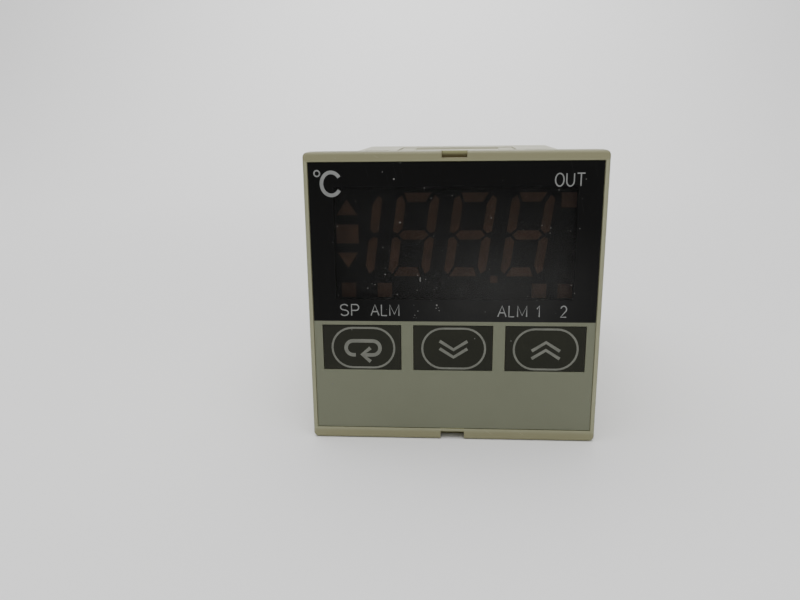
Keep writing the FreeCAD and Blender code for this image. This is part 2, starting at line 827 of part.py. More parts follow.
# ---------------------------------------------------------------- board parts
def transformer_core():
    """The ferrite of the switching transformer: a frame with a middle leg, as two E cores make it."""
    x0, y0 = -side_board_x, transformer_y
    half = core_length / 2
    centre_x = x0 + former_foot + core_width / 2
    frame = bar(centre_x, 0, core_width, core_height, y0 - half, y0 + half)
    window = bar(centre_x, 0, core_width - 2 * core_leg, core_height + 1,
                 y0 - half + core_leg, y0 + half - core_leg)
    middle = bar(centre_x, 0, core_width - core_leg, core_height, y0 - core_middle / 2, y0 + core_middle / 2)
    return join([frame.cut(window), middle])


def transformer_bobbin():
    """The transformer's former: a foot on the board, two cheeks and the taped winding between them."""
    x0, y0 = -side_board_x, transformer_y
    foot = block(x0, x0 + former_foot, y0 - core_length / 2 - 1.0, y0 + core_length / 2 + 1.0, -8.0, 8.0)
    half = core_length / 2 - core_leg - core_gap
    low = x0 + former_foot + core_leg + core_gap
    high = x0 + former_foot + core_width - core_leg - core_gap
    cheek = block(low, high, y0 - half, y0 + half, core_height / 2 + core_gap, core_height / 2 + 1.0)
    outer_cheek = block(low, high, y0 - half, y0 + half, 7.0, 7.6)
    winding = block(low + 0.5, high - 0.5, y0 - half + 0.5, y0 + half - 0.5, -7.3, 7.3)
    neck = block(x0 + former_foot - 0.1, low + 0.6, y0 - half, y0 + half, core_height / 2 + core_gap, 7.6)
    room = core_middle / 2 + core_gap
    cores = bar((low + high) / 2, 0, high - low + 0.2, core_height + 2 * core_gap, y0 - room, y0 + room)
    pieces = [cheek, outer_cheek, neck]
    body = join([foot, winding, *pieces, *[mirror_z(piece) for piece in pieces]])
    return body.cut(cores)


def choke():
    """The supply's filter choke: two square cheeks and the drum of wire between them."""
    x0, y0, z0, half = -side_board_x, 34.2, 2.2, 4.4
    cheeks = [block(x, x + 1.2, y0 - half, y0 + half, z0 - half, z0 + half) for x in (x0, x0 + 8.8)]
    return join([rod(3.9, V(x0 + 1, y0, z0), V(x0 + 9, y0, z0)), *cheeks])


def film_capacitor():
    """The boxed film capacitor across the supply."""
    box = bar(-side_board_x + 4.0, 1.0, 8.0, 11.0, 40.5, 45.5)
    return box.makeChamfer(0.4, [e for e in box.Edges if e.BoundBox.YLength > 4.0])


def fuse_resistor():
    """The fusible resistor lying beside the rear edge of its board, with its two legs."""
    x0, z0 = -side_board_x, 11.5
    body = rod(1.6, V(x0 + 2.2, 46.5, z0 - 3.5), V(x0 + 2.2, 46.5, z0 + 3.5))
    legs = []
    for z in (z0 - 4.5, z0 + 4.5):
        low, high = sorted((z, z - math.copysign(1.2, z - z0)))
        legs.append(block(x0 + 1.9, x0 + 2.5, 46.2, 46.8, low - 0.3, high + 0.3))
        legs.append(block(x0, x0 + 2.5, 46.2, 46.8, z - 0.3, z + 0.3))
    return join([body, *legs])


def flat_chip(y, z, length, height, thickness):
    """A chip's body on the inner face of the right-hand board, with sides that taper to its top."""
    x0, x1 = side_board_x, side_board_x - thickness
    body = block(x1, x0, y - length / 2, y + length / 2, z - height / 2, z + height / 2)
    top = [e for e in body.Edges if abs(e.BoundBox.XMax - x1) < 1e-4]
    return body.makeChamfer(0.25, top)


# ---------------------------------------------------------------- all nodes
def build_nodes():
    """Every node by name."""
    right_board = side_board()
    header = board_header()
    inner_left, inner_right = -side_board_x, side_board_x
    nodes = {
        "front_panel": front_panel(),
        "front_sheet": front_sheet(),
        "display_window": display_window(),
        "display_body": display_body(),
        "display_segments": display_segments(),
        "display_board": display_board(),
        "inner_seal": inner_seal(),
        "control_board": right_board,
        "power_board": mirror_x(right_board),
        "control_header": header,
        "power_header": mirror_x(header),
        "transformer_core": transformer_core(),
        "transformer_winding": transformer_bobbin(),
        "main_capacitor": capacitor(inner_left, 1, 35.0, 14.0, 5.0, 16.0),
        "small_capacitors": group([rod(3.2, V(inner_left, y, 14.2), V(inner_left + 11.0, y, 14.2))
                                   for y in (14.0, 22.5)]),
        "filter_choke": choke(),
        "film_capacitor": film_capacitor(),
        "fuse_resistor": fuse_resistor(),
        "output_relay": relay(inner_left, 1, 30.0, -16.0),
        "alarm_relay_1": relay(inner_right, -1, 30.0, 6.0),
        "alarm_relay_2": relay(inner_right, -1, 30.0, -16.0),
        "processor": flat_chip(21.0, 0.0, 10.0, 10.0, 1.6),
        "signal_chips": group([flat_chip(y, z, 8.0, 4.0, 1.7)
                               for y, z in ((14.0, 13.5), (25.0, 13.5), (22.0, -13.0))]),
        "dip_switch": dip_body(),
        "rear_case": rear_case(),
        "panel_packing": panel_packing(),
        "terminal_block": terminal_block(),
    }
    for name, x in zip(key_names, key_xs):
        nodes[f"{name}_key_film"] = key_film(x)
        nodes[f"{name}_key_plunger"] = key_plunger(x)
        nodes[f"{name}_switch"] = switch_base(x)
        nodes[f"{name}_switch_button"] = switch_button(x)
    for i in range(dip_poles):
        nodes[f"dip_lever_{i + 1}"] = dip_lever(i)
    for i, name in enumerate(("alarm_mode", "sensor_range")):
        nodes[f"{name}_switch"] = rotary_body(i)
        nodes[f"{name}_rotor"] = rotary_rotor(i)
    for kind, make in (("terminals", terminal), ("washers", terminal_washer), ("screws", terminal_screw)):
        right = [make(z) for z in terminal_zs]
        nodes[f"right_{kind}"] = group(right)
        nodes[f"left_{kind}"] = group([mirror_x(shape) for shape in right])
    return nodes


def main():
    os.makedirs("parts", exist_ok=True)
    for name, shape in build_nodes().items():
        shape.exportStep(f"parts/{name}.step")


main()
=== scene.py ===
# %% [markdown]
# # A panel-mounted temperature controller
#
# A 48 mm square controller of the kind that looks out of a machine's control cabinet. The front is
# a beige frame round a printed film: a smoked window with unlit red digits, and three keys below.
# The shape comes packed from the CAD model. This file gives every piece its surface, adds the
# prints, fine screws and small board parts, and sets up a quiet studio round it.

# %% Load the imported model
import math
import random

import bmesh
import bpy
from mathutils import Matrix, Vector


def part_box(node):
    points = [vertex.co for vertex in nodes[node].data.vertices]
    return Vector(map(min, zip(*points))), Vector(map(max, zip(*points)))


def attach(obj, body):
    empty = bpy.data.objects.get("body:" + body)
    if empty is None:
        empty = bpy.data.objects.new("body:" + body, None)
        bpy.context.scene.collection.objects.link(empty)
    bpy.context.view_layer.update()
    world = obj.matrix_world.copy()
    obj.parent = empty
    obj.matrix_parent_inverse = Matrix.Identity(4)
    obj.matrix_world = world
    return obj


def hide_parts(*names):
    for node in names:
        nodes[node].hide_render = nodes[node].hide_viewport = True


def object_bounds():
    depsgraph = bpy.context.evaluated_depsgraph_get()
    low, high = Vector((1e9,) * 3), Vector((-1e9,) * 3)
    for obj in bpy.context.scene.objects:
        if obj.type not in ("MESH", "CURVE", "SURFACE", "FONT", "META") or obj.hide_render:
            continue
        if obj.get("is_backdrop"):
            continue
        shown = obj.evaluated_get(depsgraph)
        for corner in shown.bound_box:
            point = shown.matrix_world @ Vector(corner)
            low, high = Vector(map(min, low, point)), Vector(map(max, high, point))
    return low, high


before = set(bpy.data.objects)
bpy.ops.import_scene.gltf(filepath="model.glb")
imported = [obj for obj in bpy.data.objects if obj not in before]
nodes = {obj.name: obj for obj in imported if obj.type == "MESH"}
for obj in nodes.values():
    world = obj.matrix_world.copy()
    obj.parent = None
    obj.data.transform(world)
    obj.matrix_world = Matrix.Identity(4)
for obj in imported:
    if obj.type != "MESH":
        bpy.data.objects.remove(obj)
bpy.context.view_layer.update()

mm = 0.001
panel_low, panel_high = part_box("front_panel")
film_low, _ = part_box("front_sheet")


def box_mm(name):
    """A CAD node's lowest and highest corner, in millimetres."""
    low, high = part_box(name)
    return low / mm, high / mm


# %% [markdown]
# ## Camera
#
# The view is close, under three times the front's width away, and a little above it. So near, the
# lower edge of the front looks shorter than the upper one. The frame is cut a little off the lens
# axis, which a small shift gives. The camera could be aimed with a tracking constraint, but the
# small roll of a hand-held camera would be lost, so its matrix is put together from three angles.

# %% Set the camera
scene = bpy.context.scene
face_centre = Vector((0, panel_low.y, (panel_low.z + panel_high.z) / 2))

camera_data = bpy.data.cameras.new("front_camera")
camera_data.sensor_width = 36
camera_data.lens = 36.0
camera_data.shift_y = 0.07
camera_data.clip_start = 1 * mm
camera = bpy.data.objects.new("front_camera", camera_data)
scene.collection.objects.link(camera)
turn, tilt, roll = math.radians(4.521), math.radians(16.443), math.radians(-0.653)
from_face = Vector((1.307, -128.21, 28.731)) * mm
camera.matrix_world = (
    Matrix.Translation(face_centre + from_face)
    @ Matrix.Rotation(turn, 4, "Z")
    @ Matrix.Rotation(math.pi / 2 - tilt, 4, "X")
    @ Matrix.Rotation(roll, 4, "Z")
)
scene.camera = camera
print("camera at", [round(v / mm) for v in camera.location], "mm")

# %% [markdown]
# ## Floor and backdrop
#
# The controller lies on the lower edge of its front and on the lower rear edge of its case, so it
# leans forward by about one degree. One pale sheet makes the floor and curves up behind. A flat
# plane would show its far edge as a horizon; a sheet bent in an arc has none. The arc is spun from
# the floor's rear edge.

# %% Bend a pale sheet
rear_low, rear_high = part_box("terminal_block")
frame_depth = 3.6 * mm
front_foot = Vector((0, panel_low.y + frame_depth, panel_low.z))
rear_foot = Vector((0, rear_high.y, rear_low.z))
lean = math.atan2(rear_foot.z - front_foot.z, rear_foot.y - front_foot.y)

sheet = bmesh.new()
half_width, near, far, bend = 1800 * mm, -1100 * mm, 330 * mm, 420 * mm
wall_back, wall_up = 40 * mm, 1400 * mm
bmesh.ops.create_grid(sheet, x_segments=1, y_segments=1, size=1)
for v in sheet.verts:
    v.co = Vector((v.co.x * half_width, near if v.co.y < 0 else far, 0))
edge = [e for e in sheet.edges if all(v.co.y > 0 for v in e.verts)]
bmesh.ops.spin(sheet, geom=edge, cent=(0, far, bend), axis=(1, 0, 0), angle=math.radians(88), steps=32)
top = [e for e in sheet.edges if all(v.co.z > bend * 0.9 for v in e.verts)]
rise = bmesh.ops.extrude_edge_only(sheet, edges=top[-1:])
bmesh.ops.translate(sheet, vec=(0, wall_back, wall_up),
                    verts=[v for v in rise["geom"] if isinstance(v, bmesh.types.BMVert)])
bmesh.ops.recalc_face_normals(sheet, faces=sheet.faces)
for face in sheet.faces:
    face.smooth = True
bmesh.ops.rotate(sheet, cent=(0, 0, 0), matrix=Matrix.Rotation(lean, 3, "X"), verts=sheet.verts)
bmesh.ops.translate(sheet, vec=front_foot, verts=sheet.verts)
floor_mesh = bpy.data.meshes.new("floor")
sheet.to_mesh(floor_mesh)
sheet.free()
floor = bpy.data.objects.new("floor", floor_mesh)
scene.collection.objects.link(floor)
floor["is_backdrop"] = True
print("the part leans by", round(math.degrees(lean), 2), "degrees")

# %% [markdown]
# ## Light
#
# One broad soft box hangs above and a little behind, so the top edge of the front is bright, the
# front itself is in open shade, and the ground shadow is a faint pool. A second box washes the
# backdrop, a weak one lights the front, and the room's light fills the rest. Where the camera sees
# the room itself, past the sheet, it is as pale as the sheet.

# %% Hang the lights
def soft_box(name, place, target, size, power):
    """A rectangular area light, aimed at a point."""
    data = bpy.data.lights.new(name, "AREA")
    data.shape = "RECTANGLE"
    data.size, data.size_y = size
    data.energy = power
    lamp = bpy.data.objects.new(name, data)
    scene.collection.objects.link(lamp)
    lamp.location = place
    lamp.rotation_euler = (target - place).to_track_quat("-Z", "Y").to_euler()
    return lamp


above = soft_box("box_above", Vector((-60, -20, 620)) * mm, Vector((-10, 0, 0)) * mm, (1.1, 0.9), 7.4)
wash = soft_box("box_backdrop", Vector((-40, 400, 470)) * mm, Vector((-30, 740, 150)) * mm, (0.3, 0.2), 1.7)
fill = soft_box("box_front", Vector((110, -430, 330)) * mm, Vector((0, -20, -20)) * mm, (0.5, 0.4), 0.95)
world = bpy.data.worlds.new("studio")
scene.world = world
world.use_nodes = True
studio = world.node_tree
room = studio.nodes["Background"]
room.inputs["Color"].default_value = (1.0, 0.99, 0.98, 1)
room_light, seen_light = 0.26, 0.97
seen = studio.nodes.new("ShaderNodeLightPath").outputs["Is Camera Ray"]
level = studio.nodes.new("ShaderNodeMapRange")
level.inputs["To Min"].default_value = room_light
level.inputs["To Max"].default_value = seen_light
studio.links.new(seen, level.inputs["Value"])
studio.links.new(level.outputs[0], room.inputs["Strength"])
print("lights:", above.name, wash.name, fill.name)

# %% [markdown]
# ## Tools for surfaces
#
# Every surface here is built from nodes. Two small helpers keep the recipes short: one adds a node
# with its settings and inputs, the other starts a material and hands back its shader.

# %% Node helpers
def node(tree, kind, settings=None, **inputs):
    """Adds a node; settings are its properties, inputs are values or sockets by name or by number."""
    n = tree.nodes.new("ShaderNode" + kind)
    for key, value in (settings or {}).items():
        setattr(n, key, value)
    for key, value in inputs.items():
        by_number = key[0] == "i" and key[1:].isdigit()
        put(tree, n.inputs[int(key[1:]) if by_number else key.replace("_", " ")], value)
    return n


def put(tree, socket, value):
    """Links a socket to an input, or sets the input's own number or colour."""
    if isinstance(value, bpy.types.NodeSocket):
        tree.links.new(value, socket)
    else:
        socket.default_value = value


def new_material(name, **shader_inputs):
    """A material with its Principled shader's own sockets set."""
    material = bpy.data.materials.new(name)
    material.use_nodes = True
    shader = material.node_tree.nodes["Principled BSDF"]
    for key, value in shader_inputs.items():
        shader.inputs[key.replace("_", " ")].default_value = value
    return material, material.node_tree, shader


def place_in_mm(tree):
    """The surface point in millimetres in the part's own frame."""
    where = node(tree, "TexCoord").outputs["Object"]
    return node(tree, "VectorMath", {"operation": "SCALE"}, i0=where, Scale=1 / mm).outputs[0]


def math_node(tree, operation, *values):
    """One sum, product or comparison."""
    numbered = {f"i{i}": value for i, value in enumerate(values)}
    return node(tree, "Math", {"operation": operation}, **numbered).outputs[0]


def times(tree, first, second):
    """The product of two numbers."""
    return math_node(tree, "MULTIPLY", first, second)


def axes(tree, place):
    """The X, Y and Z of a point."""
    return node(tree, "SeparateXYZ", Vector=place).outputs


def ramp(tree, factor, low, high):
    """0 at low, 1 at high, smooth between; low may be the larger one."""
    n = node(tree, "MapRange", {"interpolation_type": "SMOOTHSTEP"}, Value=factor)
    n.inputs["From Min"].default_value = low
    n.inputs["From Max"].default_value = high
    return n.outputs[0]


def band(tree, value, low, high, soft=0.03):
    """1 between low and high, with soft edges."""
    return times(tree, ramp(tree, value, low - soft, low + soft), ramp(tree, value, high + soft, high - soft))


def blend(tree, factor, first, second):
    """Mixes two colours by a factor."""
    n = node(tree, "Mix", {"data_type": "RGBA"})
    for socket, value in ((n.inputs[0], factor), (n.inputs[6], first), (n.inputs[7], second)):
        put(tree, socket, value)
    return n.outputs[2]


def paint(tree, shader, colour):
    """Sets the base colour."""
    put(tree, shader.inputs["Base Color"], colour)


def roughen(tree, shader, tint, spread, least):
    """Lets the roughness wander with a slow tint."""
    put(tree, shader.inputs["Roughness"], math_node(tree, "MULTIPLY_ADD", tint, spread, least))


def bump_up(tree, shader, height, strength, distance):
    """Raises the surface's shading by a height."""
    bump = node(tree, "Bump", Height=height, Strength=strength, Distance=distance)
    put(tree, shader.inputs["Normal"], bump.outputs[0])


def dress(names, material):
    """Gives CAD nodes a material in all their slots."""
    for name in names:
        for slot in nodes[name].material_slots:
            slot.material = material


print("helpers ready")

# %% [markdown]
# ## Paper for the floor
#
# The sheet is plain pale paper. Past the light its edges would show as dark bands, so it thins away to
# nothing at the near edge and both sides, far from the part, and the pale room shows instead.

# %% Lay the paper
paper, tree, shader = new_material("floor_paper", Base_Color=(0.85, 0.85, 0.85, 1), Roughness=0.8)
xyz = axes(tree, place_in_mm(tree))
side_start, side_end, front_start, front_end = 500.0, 1050.0, -320.0, -800.0
to_sides = ramp(tree, math_node(tree, "ABSOLUTE", xyz["X"]), side_end, side_start)
to_front = ramp(tree, xyz["Y"], front_end, front_start)
put(tree, shader.inputs["Alpha"], times(tree, to_sides, to_front))
floor.data.materials.append(paper)
print("paper fades past", side_start, "mm to the sides and", -front_start, "mm to the front")

# %% [markdown]
# ## Moulded grain, shared
#
# Moulded plastic is never quite smooth: the steel mould is spark-eroded or blasted, and its pits
# print a fine grain on every part. Several pieces here have it at different sizes, so it is one node
# group with a size and a depth. It gives a height for a bump, and a slow tint that breaks up the colour.

# %% Build the grain group
def new_group(name, inputs, outputs):
    """An empty node group with named float, colour or vector sockets."""
    group = bpy.data.node_groups.new(name, "ShaderNodeTree")
    for label, kind, value in inputs:
        made = group.interface.new_socket(label, in_out="INPUT", socket_type="NodeSocket" + kind)
        if value is not None:
            made.default_value = value
    for label, kind in outputs:
        group.interface.new_socket(label, in_out="OUTPUT", socket_type="NodeSocket" + kind)
    source = group.nodes.new("NodeGroupInput")
    sink = group.nodes.new("NodeGroupOutput")
    return group, source.outputs, sink.inputs


def use_group(tree, group, **inputs):
    """Places a node group in a material."""
    placed = tree.nodes.new("ShaderNodeGroup")
    placed.node_tree = group
    for key, value in inputs.items():
        put(tree, placed.inputs[key.replace("_", " ")], value)
    return placed.outputs


grain, g_in, g_out = new_group(
    "Moulded grain",
    [("Place", "Vector", None), ("Size", "Float", 0.12), ("Patch", "Float", 6.0)],
    [("Height", "Float"), ("Tint", "Float")],
)
pits = node(grain, "TexNoise", Vector=g_in["Place"], Scale=math_node(grain, "DIVIDE", 1.0, g_in["Size"]),
            Detail=3.0, Roughness=0.6)
clouds = node(grain, "TexNoise", Vector=g_in["Place"], Scale=math_node(grain, "DIVIDE", 1.0, g_in["Patch"]),
              Detail=4.0, Roughness=0.55)
grain.links.new(pits.outputs["Fac"], g_out["Height"])
grain.links.new(clouds.outputs["Fac"], g_out["Tint"])
print("group:", grain.name)

# %% [markdown]
# ## Dust, shared
#
# A controller that has lain on a shelf carries light specks and a thin uneven film of dust. Cells with
# a random brightness make the specks: only the rare bright cell shows, and only near its middle. The
# veil is slow noise with its low half cut off, so that it lies in patches.

# %% Build the dust group
dust, d_in, d_out = new_group(
    "Shelf dust",
    [("Place", "Vector", None), ("Speck spacing", "Float", 1.1), ("Rarity", "Float", 0.93)],
    [("Specks", "Float"), ("Veil", "Float")],
)
per_mm = math_node(dust, "DIVIDE", 1.0, d_in["Speck spacing"])
cells = node(dust, "TexVoronoi", Vector=d_in["Place"], Scale=per_mm)
core = ramp(dust, cells.outputs["Distance"], 0.12, 0.04)
pick = node(dust, "SeparateColor", i0=cells.outputs["Color"]).outputs[0]
chosen = math_node(dust, "GREATER_THAN", pick, d_in["Rarity"])
dust.links.new(math_node(dust, "MULTIPLY", core, chosen), d_out["Specks"])
veil = node(dust, "TexNoise", Vector=d_in["Place"], Scale=0.09, Detail=6.0, Roughness=0.7).outputs["Fac"]
dust.links.new(ramp(dust, veil, 0.42, 0.75), d_out["Veil"])
print("group:", dust.name)

# %% [markdown]
# ## Fine scratches, shared
#
# Cleaning and handling leave hair-thin marks that all run roughly one way. Noise stretched a hundred
# times in one direction gives them, kept only where it peaks.

# %% Build the scratch group
scratches, s_in, s_out = new_group(
    "Fine scratches",
    [("Place", "Vector", None), ("Turn", "Float", 0.4), ("Rarity", "Float", 0.7)],
    [("Marks", "Float")],
)
turned = node(scratches, "VectorRotate", {"rotation_type": "Y_AXIS"}, Vector=s_in["Place"],
              Angle=s_in["Turn"])
drawn_out = node(scratches, "VectorMath", {"operation": "MULTIPLY"}, i0=turned.outputs[0],
                 i1=(9.0, 9.0, 0.16))
hairs = node(scratches, "TexNoise", Vector=drawn_out.outputs[0], Scale=1.0, Detail=1.0).outputs["Fac"]
over = math_node(scratches, "SUBTRACT", hairs, s_in["Rarity"])
scratches.links.new(ramp(scratches, over, 0.0, 0.05), s_out["Marks"])
print("group:", scratches.name)

# %% [markdown]
# ## Beige plastic
#
# The frame and the case are the warm grey-beige that instruments wore for years, yellowed to olive
# on the front. A flat colour looks like a screen, so slow patches shift it a little, fine rubs and
# specks break it up, and the grain gives a satin sheen instead of a gloss. The two tool notches have
# painted light and shade: a paler tint inside, and painted shade deep in them and at their ends. The
# fronts of the upper and lower rims are toned darker. In the adapter channel on top of the case a
# paler tone is painted light, lifting the shade there.

# %% Mix the beige
def notch_painted_shading(tree, base, xyz):
    """Painted light and shade in the tool notches: a paler tint all through, and painted shade deep inside
    and at the ends.
    """
    across = band(tree, xyz["X"], -notch_half, notch_half, 0.02)
    behind = ramp(tree, xyz["Y"], face_y + 0.02, face_y + 0.06)
    inner = times(tree, across, behind)
    # painted light: a paler olive tint over the inside of each notch
    base = blend(tree, inner, base, (0.40, 0.40, 0.21, 1))
    low_in_upper = ramp(tree, xyz["Z"], notch_lip, notch_bed)
    off_the_lip = ramp(tree, xyz["Y"], face_y + 0.25, face_y + 0.45)
    end = ramp(tree, math_node(tree, "ABSOLUTE", xyz["X"]), notch_half - 0.15, notch_half - 0.05)
    in_lower = times(tree, ramp(tree, xyz["Z"], 0.0, -1.0), -0.4)
    notch_painted_shade = times(tree, math_node(tree, "MAXIMUM", low_in_upper, end), off_the_lip)
    notch_painted_shade = times(tree, inner, math_node(tree, "ADD", notch_painted_shade, in_lower))
    # painted shade: dark olive deep in the upper notch and at the notch ends, weaker all over the lower notch
    return blend(tree, notch_painted_shade, base, (0.075, 0.058, 0.018, 1))


def darker_rim_fronts(tree, base, xyz):
    """A darker tone on the fronts of the upper and lower rims."""
    on_rims = ramp(tree, math_node(tree, "ABSOLUTE", xyz["Z"]), 22.2, 22.9)
    facing = ramp(tree, xyz["Y"], face_y + 0.35, face_y + 0.15)
    # the fronts of the upper and lower rims are toned darker
    rim_darkening = times(tree, times(tree, on_rims, facing), 0.75)
    return blend(tree, rim_darkening, base, (0.188, 0.178, 0.094, 1))


def channel_painted_light(tree, base, xyz):
    """Painted light: a paler tone on the bed of the case's upper channel, lifting the shade there."""
    sunk = band(tree, xyz["Z"], channel_bed - 0.1, channel_bed + 0.45, 0.04)
    sunk = times(tree, sunk, band(tree, xyz["X"], -channel_half, channel_half, 0.1))
    # painted light: the channel bed is paled to lift its shade
    return blend(tree, times(tree, sunk, 0.3), base, (0.60, 0.59, 0.50, 1))


def beige(name, colour, deeper, roughness, grain_size, notches=False):
    """The moulded beige: two close tones, painted light and shade in the notches and the channel, darker rim
    fronts, specks and rubs.
    """
    material, tree, shader = new_material(name, IOR=1.45)
    place = place_in_mm(tree)
    texture = use_group(tree, grain, Place=place, Size=grain_size, Patch=9.0)
    base = blend(tree, ramp(tree, texture["Tint"], 0.35, 0.7), colour, deeper)
    xyz = axes(tree, place)
    if notches:
        base = darker_rim_fronts(tree, notch_painted_shading(tree, base, xyz), xyz)
    else:
        base = channel_painted_light(tree, base, xyz)
    dirt = use_group(tree, dust, Place=place, Speck_spacing=1.7, Rarity=0.96)
    base = blend(tree, dirt["Specks"], base, (0.62, 0.60, 0.54, 1))
    rub = use_group(tree, scratches, Place=place, Turn=1.1, Rarity=0.73)
    base = blend(tree, times(tree, rub["Marks"], 0.35), base, (0.58, 0.56, 0.46, 1))
    paint(tree, shader, base)
    roughen(tree, shader, texture["Tint"], 0.16, roughness)
    bump_up(tree, shader, texture["Height"], 0.35, 0.00002)
    return material


face_y = panel_low.y / mm
notch_half, notch_lip, notch_bed = 2.03, 24.0, 23.15
channel_half, channel_bed = 13.2, rear_high.z / mm - 0.5
frame_beige = beige("frame_beige", (0.256, 0.257, 0.161, 1), (0.232, 0.233, 0.144, 1), 0.42, 0.14, True)
case_beige = beige("case_beige", (0.47, 0.46, 0.35, 1), (0.435, 0.425, 0.32, 1), 0.42, 0.18)
dress(["front_panel"], frame_beige)
dress(["rear_case", "terminal_block"], case_beige)
print("beige on the frame and the case")

# %% [markdown]
# ## Printed film
#
# The front film is clear polycarbonate printed on its back: grey-green below, black above, and
# smoked and clear in front of the display. One material does all of it. The height on the film picks the
# zone, and Alpha below one lets the display show dimly through the smoked part. Its face is a fine
# matt velvet, which keeps the black deep. A broad pale smear low in the middle of the window is partly
# dust and partly a painted glare. A see-through sheet has two faces, and the inner one would throw
# slanting light back as noise, so the cover lies on the outer face only.

# %% Print the film
display_low, display_high = box_mm("display_body")
window_edge_z = -3.27
clear_sides = {"X": (display_low.x + 0.35, 0.5, display_high.x - 0.3, 0.3),
               "Z": (display_low.z + 0.55, 0.5, display_high.z - 0.6, 1.1)}
film_shine = 0.12
clear_share = 0.384
glare_smear_strength = 0.060
glare_smear_middle, glare_smear_width, glare_smear_height = (7.0, 0, 0.5), 24.0, 16.0


def dust_and_painted_glare(tree, place, veil):
    """A broad smear low in the middle of the window: partly dust, partly a painted glare."""
    from_middle = node(tree, "VectorMath", {"operation": "SUBTRACT"}, i0=place, i1=glare_smear_middle)
    stretched = node(tree, "VectorMath", {"operation": "MULTIPLY"}, i0=from_middle.outputs[0],
                     i1=(1 / glare_smear_width, 0, 1 / glare_smear_height))
    reach = node(tree, "VectorMath", {"operation": "LENGTH"}, i0=stretched.outputs[0]).outputs["Value"]
    patchy = math_node(tree, "MULTIPLY_ADD", veil, 0.25, 0.75)
    return times(tree, ramp(tree, reach, 1.0, 0.0), patchy)


def outer_face(tree, cover):
    """Keeps a see-through sheet's cover on the face that a ray enters by, and none where it leaves."""
    leaving = node(tree, "NewGeometry").outputs["Backfacing"]
    return times(tree, cover, math_node(tree, "SUBTRACT", 1.0, leaving))


def film_material(name, key_zone):
    """The printed film: all ink over the keys, elsewhere grey with the window above."""
    material, tree, shader = new_material(name, IOR=1.5)
    shader.inputs["Specular IOR Level"].default_value = film_shine
    place = place_in_mm(tree)
    xyz = axes(tree, place)
    texture = use_group(tree, grain, Place=place, Size=0.09, Patch=14.0)
    dirt = use_group(tree, dust, Place=place, Speck_spacing=1.2, Rarity=0.955)
    hairs = use_group(tree, scratches, Place=place, Turn=0.25, Rarity=0.71)
    slow = ramp(tree, texture["Tint"], 0.3, 0.75)
    if key_zone:
        ink_colour = blend(tree, slow, (0.0150, 0.0156, 0.0105, 1), (0.0185, 0.0190, 0.0130, 1))
    else:
        grey = blend(tree, slow, (0.151, 0.159, 0.112, 1), (0.143, 0.151, 0.106, 1))
        upper = ramp(tree, xyz["Z"], window_edge_z - 0.02, window_edge_z + 0.02)
        ink_colour = blend(tree, upper, grey, (0.0012, 0.0012, 0.0011, 1))
        clear = upper
        for axis, (low, low_fade, high, high_fade) in clear_sides.items():
            inside = times(tree, ramp(tree, xyz[axis], low, low + low_fade),
                               ramp(tree, xyz[axis], high, high - high_fade))
            clear = times(tree, clear, inside)
        solid = math_node(tree, "MULTIPLY_ADD", clear, -clear_share, 1.0)
        glare_smear = dust_and_painted_glare(tree, place, dirt["Veil"])
        amount = math_node(tree, "DIVIDE", times(tree, glare_smear, glare_smear_strength), solid)
        amount = times(tree, amount, upper)
        # partly dust, partly a painted glare: a pale veil over the smoked window, low in the middle
        ink_colour = blend(tree, amount, ink_colour, (0.33, 0.33, 0.32, 1))
    fine = times(tree, hairs["Marks"], 0.02)
    ink_colour = blend(tree, fine, ink_colour, (0.35, 0.35, 0.34, 1))
    dusty = blend(tree, dirt["Specks"], ink_colour, (0.14, 0.14, 0.13, 1))
    paint(tree, shader, dusty)
    roughen(tree, shader, texture["Tint"], 0.12, 0.34)
    bump_up(tree, shader, texture["Height"], 0.12, 0.00001)
    if not key_zone:
        cover = math_node(tree, "MAXIMUM", solid, dirt["Specks"])
        put(tree, shader.inputs["Alpha"], outer_face(tree, cover))
    return material


film = film_material("printed_film", False)
key_film = film_material("key_film", True)
dress(["front_sheet"], film)
dress(["mode_key_film", "down_key_film", "up_key_film"], key_film)
print("film window edge at", window_edge_z, "mm")

# %% [markdown]
# ## Display
#
# Behind the film sit a smoked plate and the display: a black housing with cast segments. Unlit, the
# segments are a dull brown, only a shade lighter than the black round them. The plate could be left
# out, since the film is dark too, but it gives the depth that shows when the view moves.

# %% Smoke the plate and tint the segments
smoked, tree, shader = new_material("smoked_plate", Base_Color=(0.003, 0.002, 0.002, 1), Roughness=0.12)
shader.inputs["Specular IOR Level"].default_value = 0.08
place = place_in_mm(tree)
haze = use_group(tree, grain, Place=place, Size=0.3, Patch=12.0)
tint = math_node(tree, "MULTIPLY_ADD", haze["Tint"], 0.05, 0.25)
put(tree, shader.inputs["Alpha"], outer_face(tree, tint))
dress(["display_window"], smoked)


def plain_moulding(name, colour, deeper, roughness=0.5, size=0.12, depth=0.3, metal=0.0):
    """A moulded plastic, or a plated metal, in two close tones with grain."""
    material, tree, shader = new_material(name, Metallic=metal)
    place = place_in_mm(tree)
    texture = use_group(tree, grain, Place=place, Size=size, Patch=4.0)
    tone = blend(tree, ramp(tree, texture["Tint"], 0.3, 0.72), (*colour, 1), (*deeper, 1))
    settled = use_group(tree, dust, Place=place, Speck_spacing=1.3, Rarity=0.97)
    tone = blend(tree, times(tree, settled["Specks"], 0.6), tone, (0.4, 0.39, 0.36, 1))
    paint(tree, shader, tone)
    roughen(tree, shader, texture["Tint"], 0.15, roughness - 0.07)
    bump_up(tree, shader, texture["Height"], depth, 0.00002)
    return material


segment_resin = plain_moulding("segment_resin", (0.22, 0.125, 0.080), (0.15, 0.088, 0.058), 0.45, 0.25)
display_black = plain_moulding("display_black", (0.030, 0.030, 0.028), (0.038, 0.038, 0.035), 0.6)
dress(["display_segments"], segment_resin)
dress(["display_body"], display_black)
print("display dressed")

